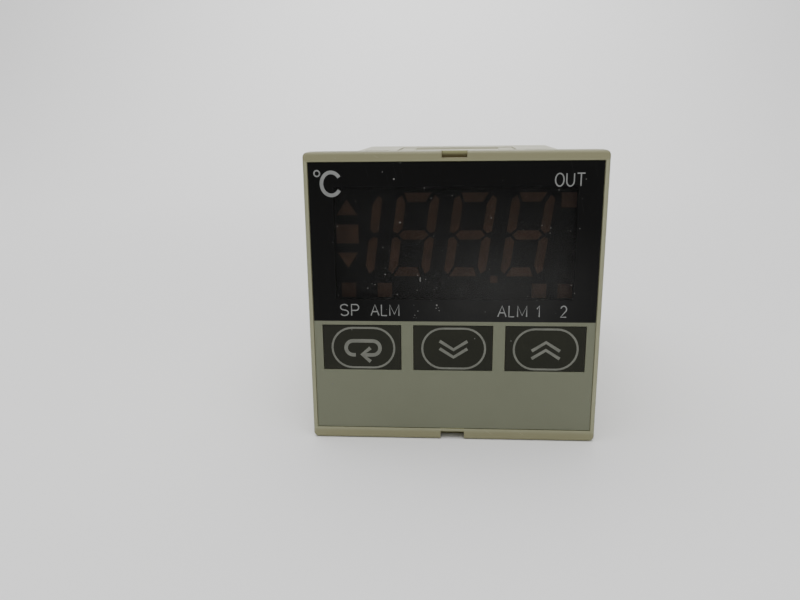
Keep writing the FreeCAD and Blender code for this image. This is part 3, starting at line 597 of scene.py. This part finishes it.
# %% [markdown]
# ## Moulded parts inside
#
# Everything behind the front is an ordinary board part in its trade colour: black keys and headers,
# a red switch with white levers, dark relays, a yellow cast capacitor. They share one recipe with
# two close tones, grain and a few dust specks, so the difference lies in the colours and the gloss.

# %% Colour the mouldings
mouldings = {
    "black_moulding": ((0.018, 0.018, 0.019), (0.026, 0.026, 0.027), 0.5,
                       ["control_header", "power_header", "processor", "signal_chips", "mode_switch",
                        "down_switch", "up_switch"]),
    "rubber": ((0.022, 0.022, 0.022), (0.032, 0.032, 0.031), 0.75, ["inner_seal", "panel_packing"]),
    "key_moulding": ((0.45, 0.45, 0.42), (0.40, 0.40, 0.37), 0.5,
                     ["mode_key_plunger", "down_key_plunger", "up_key_plunger"]),
    "white_moulding": ((0.72, 0.71, 0.66), (0.66, 0.65, 0.60), 0.45,
                       ["alarm_mode_rotor", "sensor_range_rotor"] + [f"dip_lever_{i}" for i in range(1, 7)]),
    "button_moulding": ((0.10, 0.10, 0.105), (0.13, 0.13, 0.135), 0.45,
                        ["mode_switch_button", "down_switch_button", "up_switch_button"]),
    "red_moulding": ((0.42, 0.03, 0.025), (0.36, 0.025, 0.02), 0.35, ["dip_switch"]),
    "blue_moulding": ((0.03, 0.10, 0.30), (0.025, 0.08, 0.25), 0.4,
                      ["alarm_mode_switch", "sensor_range_switch"]),
    "relay_moulding": ((0.022, 0.024, 0.028), (0.032, 0.034, 0.038), 0.25,
                       ["output_relay", "alarm_relay_1", "alarm_relay_2"]),
    "yellow_cast": ((0.62, 0.42, 0.06), (0.55, 0.36, 0.05), 0.35, ["film_capacitor"]),
    "ferrite": ((0.035, 0.034, 0.035), (0.06, 0.058, 0.058), 0.6, ["transformer_core"]),
}
for name, (colour, deeper, roughness, names) in mouldings.items():
    dress(names, plain_moulding(name, colour, deeper, roughness))
print(len(mouldings), "mouldings")

# %% [markdown]
# ## Plated metal
#
# The terminal strips, washers and screws are brass or steel with a thin bright plating, which has
# gone a little dull and cloudy in store. It is a metal with two close greys and a rough that
# wanders, which is what separates it from chrome.

# %% Plate the terminals
tin = plain_moulding("tin_plate", (0.62, 0.60, 0.55), (0.50, 0.48, 0.43), 0.38, 0.3, 0.2, 1.0)
zinc = plain_moulding("zinc_plate", (0.66, 0.64, 0.58), (0.52, 0.51, 0.47), 0.30, 0.25, 0.25, 1.0)
dress(["left_terminals", "right_terminals"], tin)
dress(["left_washers", "right_washers", "left_screws", "right_screws"], zinc)
print("terminals plated")

# %% [markdown]
# ## Circuit boards
#
# A circuit board is a glass sheet under green lacquer. Copper tracks show through the lacquer as a
# lighter green, tinned vias as pale dots, and the cut edge shows the yellow glass. A picture would
# be the usual way. Here the tracks are the joints of a brick pattern, stretched along the board,
# which breaks them up as real routing does. The rear edge has gold contacts at the terminals' pitch.

# %% Lacquer the boards
def board_material(name, across, gold_from=None):
    """Green lacquer over tracks, with gold contacts behind a given depth."""
    material, tree, shader = new_material(name, IOR=1.52)
    place = place_in_mm(tree)
    xyz = axes(tree, place)
    flat = node(tree, "CombineXYZ", X=xyz[across], Y=xyz["Z"]).outputs[0]
    routing = {"offset": 0.37, "squash": 1.6, "squash_frequency": 3}
    tracks = node(tree, "TexBrick", routing, Vector=flat, Scale=1.0, Mortar_Size=0.16, Brick_Width=5.2,
                  Row_Height=1.27, Mortar_Smooth=0.1)
    slow = node(tree, "TexNoise", Vector=place, Scale=0.35, Detail=2.0).outputs["Fac"]
    lacquer = blend(tree, ramp(tree, slow, 0.35, 0.65), (0.010, 0.075, 0.028, 1), (0.014, 0.095, 0.035, 1))
    tone = blend(tree, tracks.outputs["Fac"], lacquer, (0.03, 0.17, 0.07, 1))
    holes = node(tree, "TexVoronoi", Vector=flat, Scale=0.42)
    via = ramp(tree, holes.outputs["Distance"], 0.16, 0.13)
    bore = ramp(tree, holes.outputs["Distance"], 0.07, 0.05)
    tone = blend(tree, via, tone, (0.58, 0.57, 0.53, 1))
    tone = blend(tree, bore, tone, (0.01, 0.015, 0.01, 1))
    shine = via
    if gold_from is not None:
        step = math_node(tree, "PINGPONG", xyz["Z"], terminal_pitch / 2)
        gold = times(tree, ramp(tree, step, 1.6, 1.5),
                         ramp(tree, xyz["Y"], gold_from, gold_from + 0.1))
        tone = blend(tree, gold, tone, (0.85, 0.58, 0.22, 1))
        shine = math_node(tree, "MAXIMUM", via, gold)
    facing = axes(tree, node(tree, "TexCoord").outputs["Normal"])
    thick = "X" if across == "Y" else "Y"
    edge = ramp(tree, math_node(tree, "ABSOLUTE", facing[thick]), 0.6, 0.4)
    tone = blend(tree, edge, tone, (0.34, 0.30, 0.13, 1))
    paint(tree, shader, tone)
    put(tree, shader.inputs["Metallic"], times(tree, shine, 0.9))
    roughen(tree, shader, slow, 0.1, 0.25)
    bump_up(tree, shader, tracks.outputs["Fac"], 0.4, 0.00004)
    return material


terminal_pitch = 8.1
dress(["control_board", "power_board"], board_material("side_board", "Y", 50.6))
dress(["display_board"], board_material("front_board", "X"))
print("three boards lacquered")

# %% [markdown]
# ## Wound and sleeved parts
#
# The transformer is wrapped in yellow tape, the choke in copper wire, and the capacitors wear a dark
# sleeve with a pale stripe down one side and a bare aluminium top. Their node materials read the
# position on the part, so the stripe and the tape's turns stay in place.

# %% Sleeves, tape and bands
def sleeved(name, colour, centres, radius, top_x, direction):
    """A capacitor's sleeve: a stripe on the upper side, and bare metal inside the rolled top."""
    material, tree, shader = new_material(name, Roughness=0.35)
    place = place_in_mm(tree)
    xyz = axes(tree, place)
    texture = use_group(tree, grain, Place=place, Size=0.2, Patch=3.0)
    tone = blend(tree, texture["Tint"], (*colour, 1), (*[c * 0.8 for c in colour], 1))
    top = 0.0
    stripe = 0.0
    for y, z in centres:
        off = node(tree, "CombineXYZ", X=math_node(tree, "SUBTRACT", xyz["Y"], y),
                   Y=math_node(tree, "SUBTRACT", xyz["Z"], z)).outputs[0]
        reach = node(tree, "VectorMath", {"operation": "LENGTH"}, i0=off).outputs["Value"]
        lid = times(tree, ramp(tree, reach, radius * 0.78, radius * 0.74),
                        ramp(tree, times(tree, xyz["X"], direction), top_x * direction - 0.5,
                             top_x * direction - 0.4))
        top = math_node(tree, "MAXIMUM", lid, top)
        near = math_node(tree, "LESS_THAN", reach, radius + 0.3)
        upper = ramp(tree, math_node(tree, "SUBTRACT", xyz["Z"], z + radius * 0.8), 0.0, 0.1)
        stripe = math_node(tree, "MAXIMUM", times(tree, near, upper), stripe)
    dashes = ramp(tree, math_node(tree, "PINGPONG", xyz["X"], 1.5), 0.5, 0.6)
    tone = blend(tree, times(tree, stripe, dashes), tone, (0.55, 0.55, 0.52, 1))
    tone = blend(tree, top, tone, (0.72, 0.72, 0.73, 1))
    paint(tree, shader, tone)
    put(tree, shader.inputs["Metallic"], top)
    roughen(tree, shader, texture["Tint"], 0.15, 0.27)
    return material


def banded(name, base, band_colour, axis, pitch, width, roughness=0.4, metal=0.0):
    """A wrapped or banded part: turns of tape, or rings of colour, along one axis."""
    material, tree, shader = new_material(name, Metallic=metal)
    place = place_in_mm(tree)
    xyz = axes(tree, place)
    texture = use_group(tree, grain, Place=place, Size=0.2, Patch=3.0)
    step = math_node(tree, "PINGPONG", xyz[axis], pitch / 2)
    line = ramp(tree, step, width / 2 + 0.04, width / 2 - 0.04)
    tone = blend(tree, texture["Tint"], (*base, 1), (*[c * 0.82 for c in base], 1))
    tone = blend(tree, line, tone, (*band_colour, 1))
    paint(tree, shader, tone)
    roughen(tree, shader, texture["Tint"], 0.15, roughness)
    bump_up(tree, shader, line, 0.3, 0.00003)
    return material


main_low, main_high = box_mm("main_capacitor")
small_low, small_high = box_mm("small_capacitors")
main_middle = (main_low + main_high) / 2
small_r = (small_high.z - small_low.z) / 2
small_z = (small_high.z + small_low.z) / 2
dress(["main_capacitor"], sleeved("black_sleeve", (0.02, 0.021, 0.03), [(main_middle.y, main_middle.z)],
                                  (main_high.z - main_low.z) / 2, main_high.x, 1))
dress(["small_capacitors"], sleeved("blue_sleeve", (0.02, 0.03, 0.10),
                                    [(small_low.y + small_r, small_z), (small_high.y - small_r, small_z)],
                                    small_r, small_high.x, 1))
dress(["transformer_winding"], banded("yellow_tape", (0.62, 0.46, 0.10), (0.40, 0.28, 0.05), "Z", 3.2, 0.25))
dress(["fuse_resistor"], banded("resistor_bands", (0.30, 0.42, 0.48), (0.30, 0.05, 0.02), "Z", 2.2, 0.7))
dress(["filter_choke"], plain_moulding("choke_former", (0.05, 0.05, 0.05), (0.07, 0.07, 0.07), 0.5))
print("wound parts dressed")

# %% [markdown]
# ## Ink
#
# The marks are printed on the film: rings and arrows on the keys, letters in the window. They could be
# painted by the film's nodes, but a shape made of mesh stays sharp from close by and can ride on a
# key when it is pressed. Each mark is a flat stroke a few hundredths of a millimetre thick, and the
# ink is a dull grey, thinner in patches.

# %% Ink helpers
ink_y = film_low.y / mm - 0.012
key_boxes = {name: box_mm(f"{name}_key_film") for name in ("mode", "down", "up")}


def link_mesh(name, bm, body, material, smooth=False):
    """Turns a bmesh in millimetres into a named piece that rides on a body, with its material."""
    bmesh.ops.scale(bm, vec=(mm, mm, mm), verts=bm.verts)
    mesh = bpy.data.meshes.new(name)
    for face in bm.faces:
        face.smooth = smooth
    bm.to_mesh(mesh)
    bm.free()
    mesh.materials.append(material)
    piece = bpy.data.objects.new(name, mesh)
    scene.collection.objects.link(piece)
    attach(piece, body)
    return piece


def line_mesh(bm, points, closed, radius, sides):
    """Adds a line of round or square section through 3-D points."""
    curve = bpy.data.curves.new("line", "CURVE")
    curve.dimensions = "3D"
    curve.bevel_depth = radius
    curve.bevel_resolution = sides
    curve.use_fill_caps = True
    spline = curve.splines.new("POLY")
    spline.points.add(len(points) - 1)
    for point, place in zip(spline.points, points):
        point.co = (*place, 1)
    spline.use_cyclic_u = closed
    holder = bpy.data.objects.new("line", curve)
    drawn = bpy.data.meshes.new_from_object(holder)
    bm.from_mesh(drawn)
    bpy.data.objects.remove(holder)
    bpy.data.curves.remove(curve)
    bpy.data.meshes.remove(drawn)


def flat_line(paths, width):
    """A bmesh of flat strokes drawn through (x, z) points in the film's face."""
    bm = bmesh.new()
    for points, closed in paths:
        line_mesh(bm, [(x, z, 0) for x, z in points], closed, width / 2, 0)
    bmesh.ops.scale(bm, vec=(1, 1, 0.012 / (width / 2)), verts=bm.verts)
    bmesh.ops.rotate(bm, cent=(0, 0, 0), matrix=Matrix.Rotation(math.pi / 2, 3, "X"), verts=bm.verts)
    bmesh.ops.translate(bm, vec=(0, ink_y, 0), verts=bm.verts)
    return bm


def arc(cx, cz, rx, rz, start, end, steps=16):
    """Points along part of an ellipse, in degrees from +X towards +Z."""
    angles = [math.radians(start + (end - start) * i / steps) for i in range(steps + 1)]
    return [(cx + rx * math.cos(a), cz + rz * math.sin(a)) for a in angles]


def stadium(cx, cz, width, height):
    """A ring of two straight runs and two half circles."""
    r = height / 2
    reach = width / 2 - r
    return arc(cx + reach, cz, r, r, -90, 90) + arc(cx - reach, cz, r, r, 90, 270)


def ink(name, colour, deeper):
    """A dull print in two close tones."""
    material, tree, shader = new_material(name, Roughness=0.5)
    shader.inputs["Specular IOR Level"].default_value = film_shine
    place = place_in_mm(tree)
    patch = use_group(tree, grain, Place=place, Size=0.1, Patch=1.5)
    tone = blend(tree, ramp(tree, patch["Tint"], 0.3, 0.7), (*colour, 1), (*deeper, 1))
    paint(tree, shader, tone)
    return material


key_ink = ink("key_ink", (0.154, 0.158, 0.135), (0.127, 0.131, 0.112))
window_ink = ink("window_ink", (0.22, 0.225, 0.22), (0.18, 0.185, 0.18))
print("ink lies at", round(ink_y, 3), "mm")

# %% Key rings and arrows
key_middle = {k: ((low.x + high.x) / 2, (low.z + high.z) / 2) for k, (low, high) in key_boxes.items()}
ring_shift = {"mode": 0.2, "down": 0.12, "up": 0.08}
ring_width, ring_height, ring_stroke = 10.44, 6.88, 0.34
arrow_half, arrow_drop, arrow_stroke, loop_stroke = 2.3, 1.48, 0.53, 0.62
for key, (cx, cz) in key_middle.items():
    outline = stadium(cx + ring_shift[key], cz - 0.07, ring_width, ring_height)
    ring = flat_line([(outline, True)], ring_stroke)
    link_mesh(f"{key}_key_ring", ring, f"{key}_key", key_ink)


def chevrons(cx, cz, tops, drop):
    """Two open arrowheads, one below the other."""
    left, right = cx - arrow_half, cx + arrow_half
    return [([(left, cz + z), (cx, cz + z + drop), (right, cz + z)], False) for z in tops]


for key, shift, tops, drop in (("down", 0.1, (1.22, -0.08), -arrow_drop),
                               ("up", 0.12, (-0.34, -1.66), arrow_drop)):
    cx, cz = key_middle[key]
    arrows = flat_line(chevrons(cx + shift, cz, tops, drop), arrow_stroke)
    link_mesh(f"{key}_key_arrow", arrows, f"{key}_key", key_ink)
cx, cz = key_middle["mode"]
turn_r = 1.22
low_run = cz - 1.31
loop = ([(cx - 1.1, low_run)] + arc(cx - 1.5, low_run + turn_r, turn_r, turn_r, 270, 90, 12)
        + arc(cx + 1.79, low_run + turn_r, turn_r, turn_r, 90, -90, 12) + [(cx + 0.2, low_run)])
head = [(cx + 1.39, cz - 0.08), (cx - 0.03, cz - 1.24), (cx + 1.39, cz - 2.47)]
link_mesh("mode_key_arrow", flat_line([(loop, False), (head, False)], loop_stroke), "mode_key", key_ink)
print("rings and arrows on three keys")

# %% [markdown]
# The window's letters are engraver's capitals of one even stroke, drawn from lines and arcs in a unit
# square. A font's outlines would come with thick and thin parts that this print hasn't.

# %% Letters in the window
GLYPHS = {
    "A": [[(0, 0), (0.5, 1), (1, 0)], [(0.2, 0.36), (0.8, 0.36)]],
    "L": [[(0, 1), (0, 0), (1, 0)]],
    "M": [[(0, 0), (0, 1), (0.5, 0.12), (1, 1), (1, 0)]],
    "T": [[(0, 1), (1, 1)], [(0.5, 1), (0.5, 0)]],
    "P": [[(0, 0), (0, 1)] + arc(0.6, 0.735, 0.4, 0.265, 90, -90, 8) + [(0, 0.47)]],
    "O": [arc(0.5, 0.5, 0.5, 0.5, 0, 360, 24)],
    "U": [[(0, 1)] + arc(0.5, 0.4, 0.5, 0.4, 180, 360, 12) + [(1, 1)]],
    "S": [arc(0.5, 0.75, 0.48, 0.25, 25, 270, 12) + arc(0.5, 0.25, 0.5, 0.25, 90, -155, 12)],
    "1": [[(0, 0.72), (0.8, 1), (0.8, 0)]],
    "2": [arc(0.5, 0.7, 0.5, 0.3, 165, -25, 12) + [(0, 0), (1, 0)]],
}
stroke = 0.2
words = {
    "mark_sp": [("S", -18.75, -17.25), ("P", -16.9, -15.5), (-2.44, -0.36)],
    "mark_alm_left": [("A", -13.67, -12.14), ("L", -11.93, -10.82), ("M", -10.54, -8.83), (-2.40, -0.36)],
    "mark_alm_right": [("A", 7.2, 8.74), ("L", 9.0, 10.05), ("M", 10.4, 12.07), (-2.46, -0.44)],
    "mark_1": [("1", 13.5, 14.2), (-2.47, -0.42)],
    "mark_2": [("2", 17.35, 18.46), (-2.47, -0.42)],
    "mark_out": [("O", 15.6, 17.1), ("U", 17.32, 18.68), ("T", 18.92, 20.32), (18.48, 20.63)],
}
for name, (*row, (bottom, top)) in words.items():
    paths = []
    for letter, left, right in row:
        for points in GLYPHS[letter]:
            wide, tall = right - left - stroke, top - bottom - stroke
            placed = [(left + stroke / 2 + x * wide, bottom + stroke / 2 + z * tall) for x, z in points]
            paths.append((placed, False))
    link_mesh(name, flat_line(paths, stroke), "front_unit", window_ink)
degree = flat_line([(arc(-21.74, 20.72, 0.45, 0.45, 0, 345, 23), True)], 0.23)
link_mesh("mark_degree", degree, "front_unit", window_ink)
big_c = flat_line([(arc(-19.5, 19.1, 1.55, 1.79, 34, 326, 28), False)], 0.58)
link_mesh("mark_celsius", big_c, "front_unit", window_ink)
print(len(words) + 2, "marks in the window")

# %% [markdown]
# ## Dust on the window
#
# On the black a few larger flecks stand out where they lie, and small ones are scattered, thickest low
# in the middle. They are flat discs, each with its own size, beside one short hair of lint.

# %% Lay the flecks
fleck, tree, shader = new_material("dust_fleck", Roughness=0.9)
shader.inputs["Specular IOR Level"].default_value = 0.1
tone = use_group(tree, grain, Place=place_in_mm(tree), Size=0.05, Patch=0.6)
pale = blend(tree, tone["Tint"], (0.13, 0.13, 0.125, 1), (0.20, 0.20, 0.19, 1))
paint(tree, shader, pale)
scatter = random.Random(5)
flecks = [(41, -2.7, -0.5), (39, -9.5, 19.8), (29, -8.6, 13.0), (22, -11.1, 4.6), (19, -18.7, 12.4),
          (17, -9.2, 1.3), (17, -14.0, 2.3), (15, 15.3, 12.1), (15, -0.3, 17.2), (15, -2.3, -1.4),
          (15, -12.8, 2.9), (14, 16.3, 18.0), (14, 5.9, 13.7), (14, -2.8, -1.0), (14, -5.8, -1.5),
          (14, -6.3, -2.2), (13, -3.6, 16.8), (13, -4.5, 3.8), (13, -4.7, 18.4), (12, 5.8, 5.5),
          (12, -5.8, 4.4), (12, -5.9, 2.0), (12, -11.4, 9.0), (12, -21.9, -2.3), (10, 19.8, 12.0),
          (10, 19.5, 1.6), (10, 18.9, 2.9), (10, 15.2, 11.3), (10, 13.9, 12.5), (10, -11.3, 20.9)]
flecks += [(scatter.uniform(-9, 3), scatter.gauss(-6, 5), scatter.gauss(4.5, 4)) for _ in range(36)]
flecks += [(scatter.uniform(-9, 1), scatter.uniform(-20, 20), scatter.uniform(-2.5, 20)) for _ in range(34)]
dust_side, dust_low = 21.5, -2.9
flecks = [f for f in flecks if -dust_side < f[1] < dust_side and dust_low < f[2] < dust_side]
fleck_r, fleck_growth = 0.055, 0.0024
bm = bmesh.new()
for size, x, z in flecks:
    lay = Matrix.Translation((x, ink_y, z)) @ Matrix.Rotation(math.pi / 2, 4, "X")
    radius = fleck_r + fleck_growth * size
    bmesh.ops.create_circle(bm, cap_ends=True, segments=7, radius=radius, matrix=lay)
line_mesh(bm, [(-5.35, ink_y, 4.15), (-5.42, ink_y, 3.8), (-5.38, ink_y, 3.4)], False, 0.07, 0)
link_mesh("window_dust", bm, "front_unit", fleck)
print(len(flecks), "flecks and a hair")

# %% [markdown]
# ## Terminal screws
#
# The screws on the back are pan heads with a cross recess. The CAD has them plain and faceted, which
# holds their size. Here each is spun round with a domed head, a cut thread on its shank, and a recess
# made of two crossed tapered pockets. A boolean is the simple way to sink them.

# %% Spin the screws
def spun(profile, steps):
    """A closed bmesh from an (axial, radius) profile turned fully round the Y axis."""
    bm = bmesh.new()
    verts = [bm.verts.new((r, y, 0)) for y, r in profile]
    edges = [bm.edges.new(pair) for pair in zip(verts, verts[1:])]
    bmesh.ops.spin(bm, geom=verts + edges, cent=(0, 0, 0), axis=(0, 1, 0), angle=2 * math.pi,
                   steps=steps, use_merge=True)
    bmesh.ops.remove_doubles(bm, verts=bm.verts, dist=1e-4)
    bmesh.ops.recalc_face_normals(bm, faces=bm.faces)
    return bm


def cut(bm, tool):
    """Subtracts one bmesh from another."""
    holders = []
    for source in (bm, tool):
        mesh = bpy.data.meshes.new("cut")
        source.to_mesh(mesh)
        source.free()
        holder = bpy.data.objects.new("cut", mesh)
        scene.collection.objects.link(holder)
        holders.append(holder)
    body, knife = holders
    boolean = body.modifiers.new("cut", "BOOLEAN")
    boolean.operation = "DIFFERENCE"
    boolean.solver = "EXACT"
    boolean.use_self = True
    boolean.object = knife
    graph = bpy.context.evaluated_depsgraph_get()
    result = bmesh.new()
    result.from_object(body, graph)
    for holder in holders:
        mesh = holder.data
        bpy.data.objects.remove(holder)
        bpy.data.meshes.remove(mesh)
    return result


screw_low, screw_high = box_mm("right_screws")
head_r = (screw_high.x - screw_low.x) / 2
screw_x = (screw_high.x + screw_low.x) / 2
head_top = screw_high.y
washer_top = box_mm("right_washers")[1].y
shank_r, thread_depth = 1.7, 0.28
turns = [(head_top, 0.0), (head_top, 1.0), (head_top - 0.12, 1.9), (head_top - 0.4, head_r - 0.4),
         (head_top - 0.85, head_r - 0.06), (head_top - 1.2, head_r), (washer_top + 0.1, head_r),
         (washer_top, head_r - 0.1), (washer_top, shank_r)]
thread_pitch = 0.6
y = washer_top
while y > screw_low.y + 1.0:
    turns += [(y - 0.15, shank_r), (y - 0.45, shank_r - thread_depth), (y - thread_pitch, shank_r)]
    y -= thread_pitch
turns += [(screw_low.y + 0.3, shank_r - 0.2), (screw_low.y, shank_r - 0.6), (screw_low.y, 0.0)]
recess = bmesh.new()
for turn_y in (0, math.pi / 2):
    blade = bmesh.ops.create_cube(recess, size=1.0, matrix=Matrix.Rotation(turn_y, 4, "Y")
                                  @ Matrix.Diagonal((3.3, 2.6, 0.72, 1)))["verts"]
    for v in blade:
        if v.co.y < 0:
            v.co.x *= 0.45
            v.co.z *= 0.45
bmesh.ops.translate(recess, vec=(0, head_top, 0), verts=recess.verts)
screw = cut(spun(turns, 40), recess)
screw_mesh = bpy.data.meshes.new("screw_shape")
screw.to_mesh(screw_mesh)
screw.free()
screw_zs = [terminal_pitch * step for step in range(-2, 3)]
for side, x in (("right", screw_x), ("left", -screw_x)):
    bm = bmesh.new()
    for i, z in enumerate(screw_zs):
        before = len(bm.verts)
        bm.from_mesh(screw_mesh)
        bm.verts.ensure_lookup_table()
        fresh = bm.verts[before:]
        twist = Matrix.Rotation(math.radians(17 + 31 * i), 3, "Y")
        bmesh.ops.rotate(bm, cent=(0, 0, 0), matrix=twist, verts=fresh)
        bmesh.ops.translate(bm, vec=(x, 0, z), verts=fresh)
    piece = link_mesh(f"{side}_pan_screws", bm, "case", zinc)
    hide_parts(f"{side}_screws")
bpy.data.meshes.remove(screw_mesh)
print("ten screws with recess and thread")

# %% [markdown]
# ## Small parts on the boards
#
# Chips stand on formed legs, and the control board carries a scatter of chip resistors and
# capacitors with tinned ends. The outer side of each board shows the cut leads of the parts, each in a
# small cone of solder. Each kind is one piece, built from the same few shapes.

# %% Solder, legs and chips
def add_box(bm, centre, size):
    """A plain box."""
    bmesh.ops.create_cube(bm, size=1.0, matrix=Matrix.Translation(centre) @ Matrix.Diagonal((*size, 1)))


board_out = {"control_board": box_mm("control_board")[1].x, "power_board": box_mm("power_board")[0].x}
seed = random.Random(7)
solder = plain_moulding("solder", (0.66, 0.66, 0.67), (0.55, 0.55, 0.56), 0.3, 0.2, 0.15, 1.0)
for board, x in board_out.items():
    side = 1 if x > 0 else -1
    bm = bmesh.new()
    rows = [(y, z) for y in (9.0, 13.0, 22.0, 31.0, 36.5, 43.0, 47.5) for z in range(-17, 18, 3)
            if seed.random() < 0.55]
    for y, z in rows:
        if board == "control_board" and (10.4 < y < 29 and (z < -7.5 or 1 < z < 10)):
            continue
        lay = Matrix.Translation((x, y, z)) @ Matrix.Rotation(side * math.pi / 2, 4, "Y")
        bmesh.ops.create_cone(bm, cap_ends=True, segments=14, radius1=0.62, radius2=0.2, depth=0.7,
                              matrix=lay @ Matrix.Translation((0, 0, 0.35)))
        bmesh.ops.create_cone(bm, cap_ends=True, segments=8, radius1=0.22, radius2=0.2, depth=0.9,
                              matrix=lay @ Matrix.Translation((0, 0, 0.45)))
    link_mesh(f"{board}_solder", bm, "front_unit", solder)

chip_low, chip_high = box_mm("processor")
legs = bmesh.new()
leg_x = (chip_high.x + chip_low.x) / 2 + 0.3
leg_count, leg_pitch = 16, 0.5
for i in range(leg_count):
    step = (i - (leg_count - 1) / 2) * leg_pitch
    cy, cz = (chip_low.y + chip_high.y) / 2, (chip_low.z + chip_high.z) / 2
    for sign in (-1, 1):
        reach = (chip_high.y - chip_low.y) / 2 + 0.45
        add_box(legs, (leg_x, cy + sign * reach, cz + step), (0.9, 0.9, 0.22))
        add_box(legs, (leg_x, cy + step, cz + sign * reach), (0.9, 0.22, 0.9))
link_mesh("processor_legs", legs, "front_unit", tin)

ends = bmesh.new()
bodies = bmesh.new()
inner_x = box_mm("control_board")[0].x
for k in range(34):
    y, z = seed.uniform(11, 49), seed.uniform(-18.5, 18.5)
    in_part = (14 < y < 28 and -7 < z < 7) or (9 < y < 30 and abs(z) > 9) or (29 < y < 51 and abs(z) > 5)
    if in_part:
        continue
    length, wide, high = (1.6, 0.8, 0.45) if k % 3 else (2.0, 1.25, 0.6)
    add_box(bodies, (inner_x - high / 2, y, z), (high, length * 0.66, wide * 0.98))
    for sign in (-1, 1):
        add_box(ends, (inner_x - high / 2, y + sign * length * 0.41, z), (high * 1.04, length * 0.18, wide))
link_mesh("chip_parts", bodies, "front_unit",
          plain_moulding("chip_ceramic", (0.05, 0.045, 0.04), (0.16, 0.12, 0.08), 0.4, 0.3))
link_mesh("chip_part_ends", ends, "front_unit", tin)
print("solder, legs and chip parts")

# %% [markdown]
# ## Copper wire on the choke
#
# The choke's drum is wound with enamelled wire, one turn beside the next. Each turn is a ring, which
# at this size looks the same as the true helix and is a closed shape.

# %% Wind the choke
choke_low, choke_high = box_mm("filter_choke")
wire_r, wound_r, flange = 0.26, 3.95, 1.2
middle_y, middle_z = (choke_low.y + choke_high.y) / 2, (choke_low.z + choke_high.z) / 2
bm = bmesh.new()
x = choke_low.x + flange + wire_r + 0.05
while x < choke_high.x - flange - wire_r:
    ring = [(x, middle_y + wound_r * math.cos(a), middle_z + wound_r * math.sin(a))
            for a in (math.radians(12 * k) for k in range(30))]
    line_mesh(bm, ring, True, wire_r, 2)
    x += 2 * wire_r + 0.01
copper = plain_moulding("enamelled_copper", (0.72, 0.26, 0.10), (0.60, 0.20, 0.07), 0.28, 0.4, 0.1, 1.0)
link_mesh("choke_wire", bm, "front_unit", copper, True)
print("choke wound")

# %% Measure and finish
low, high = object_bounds()
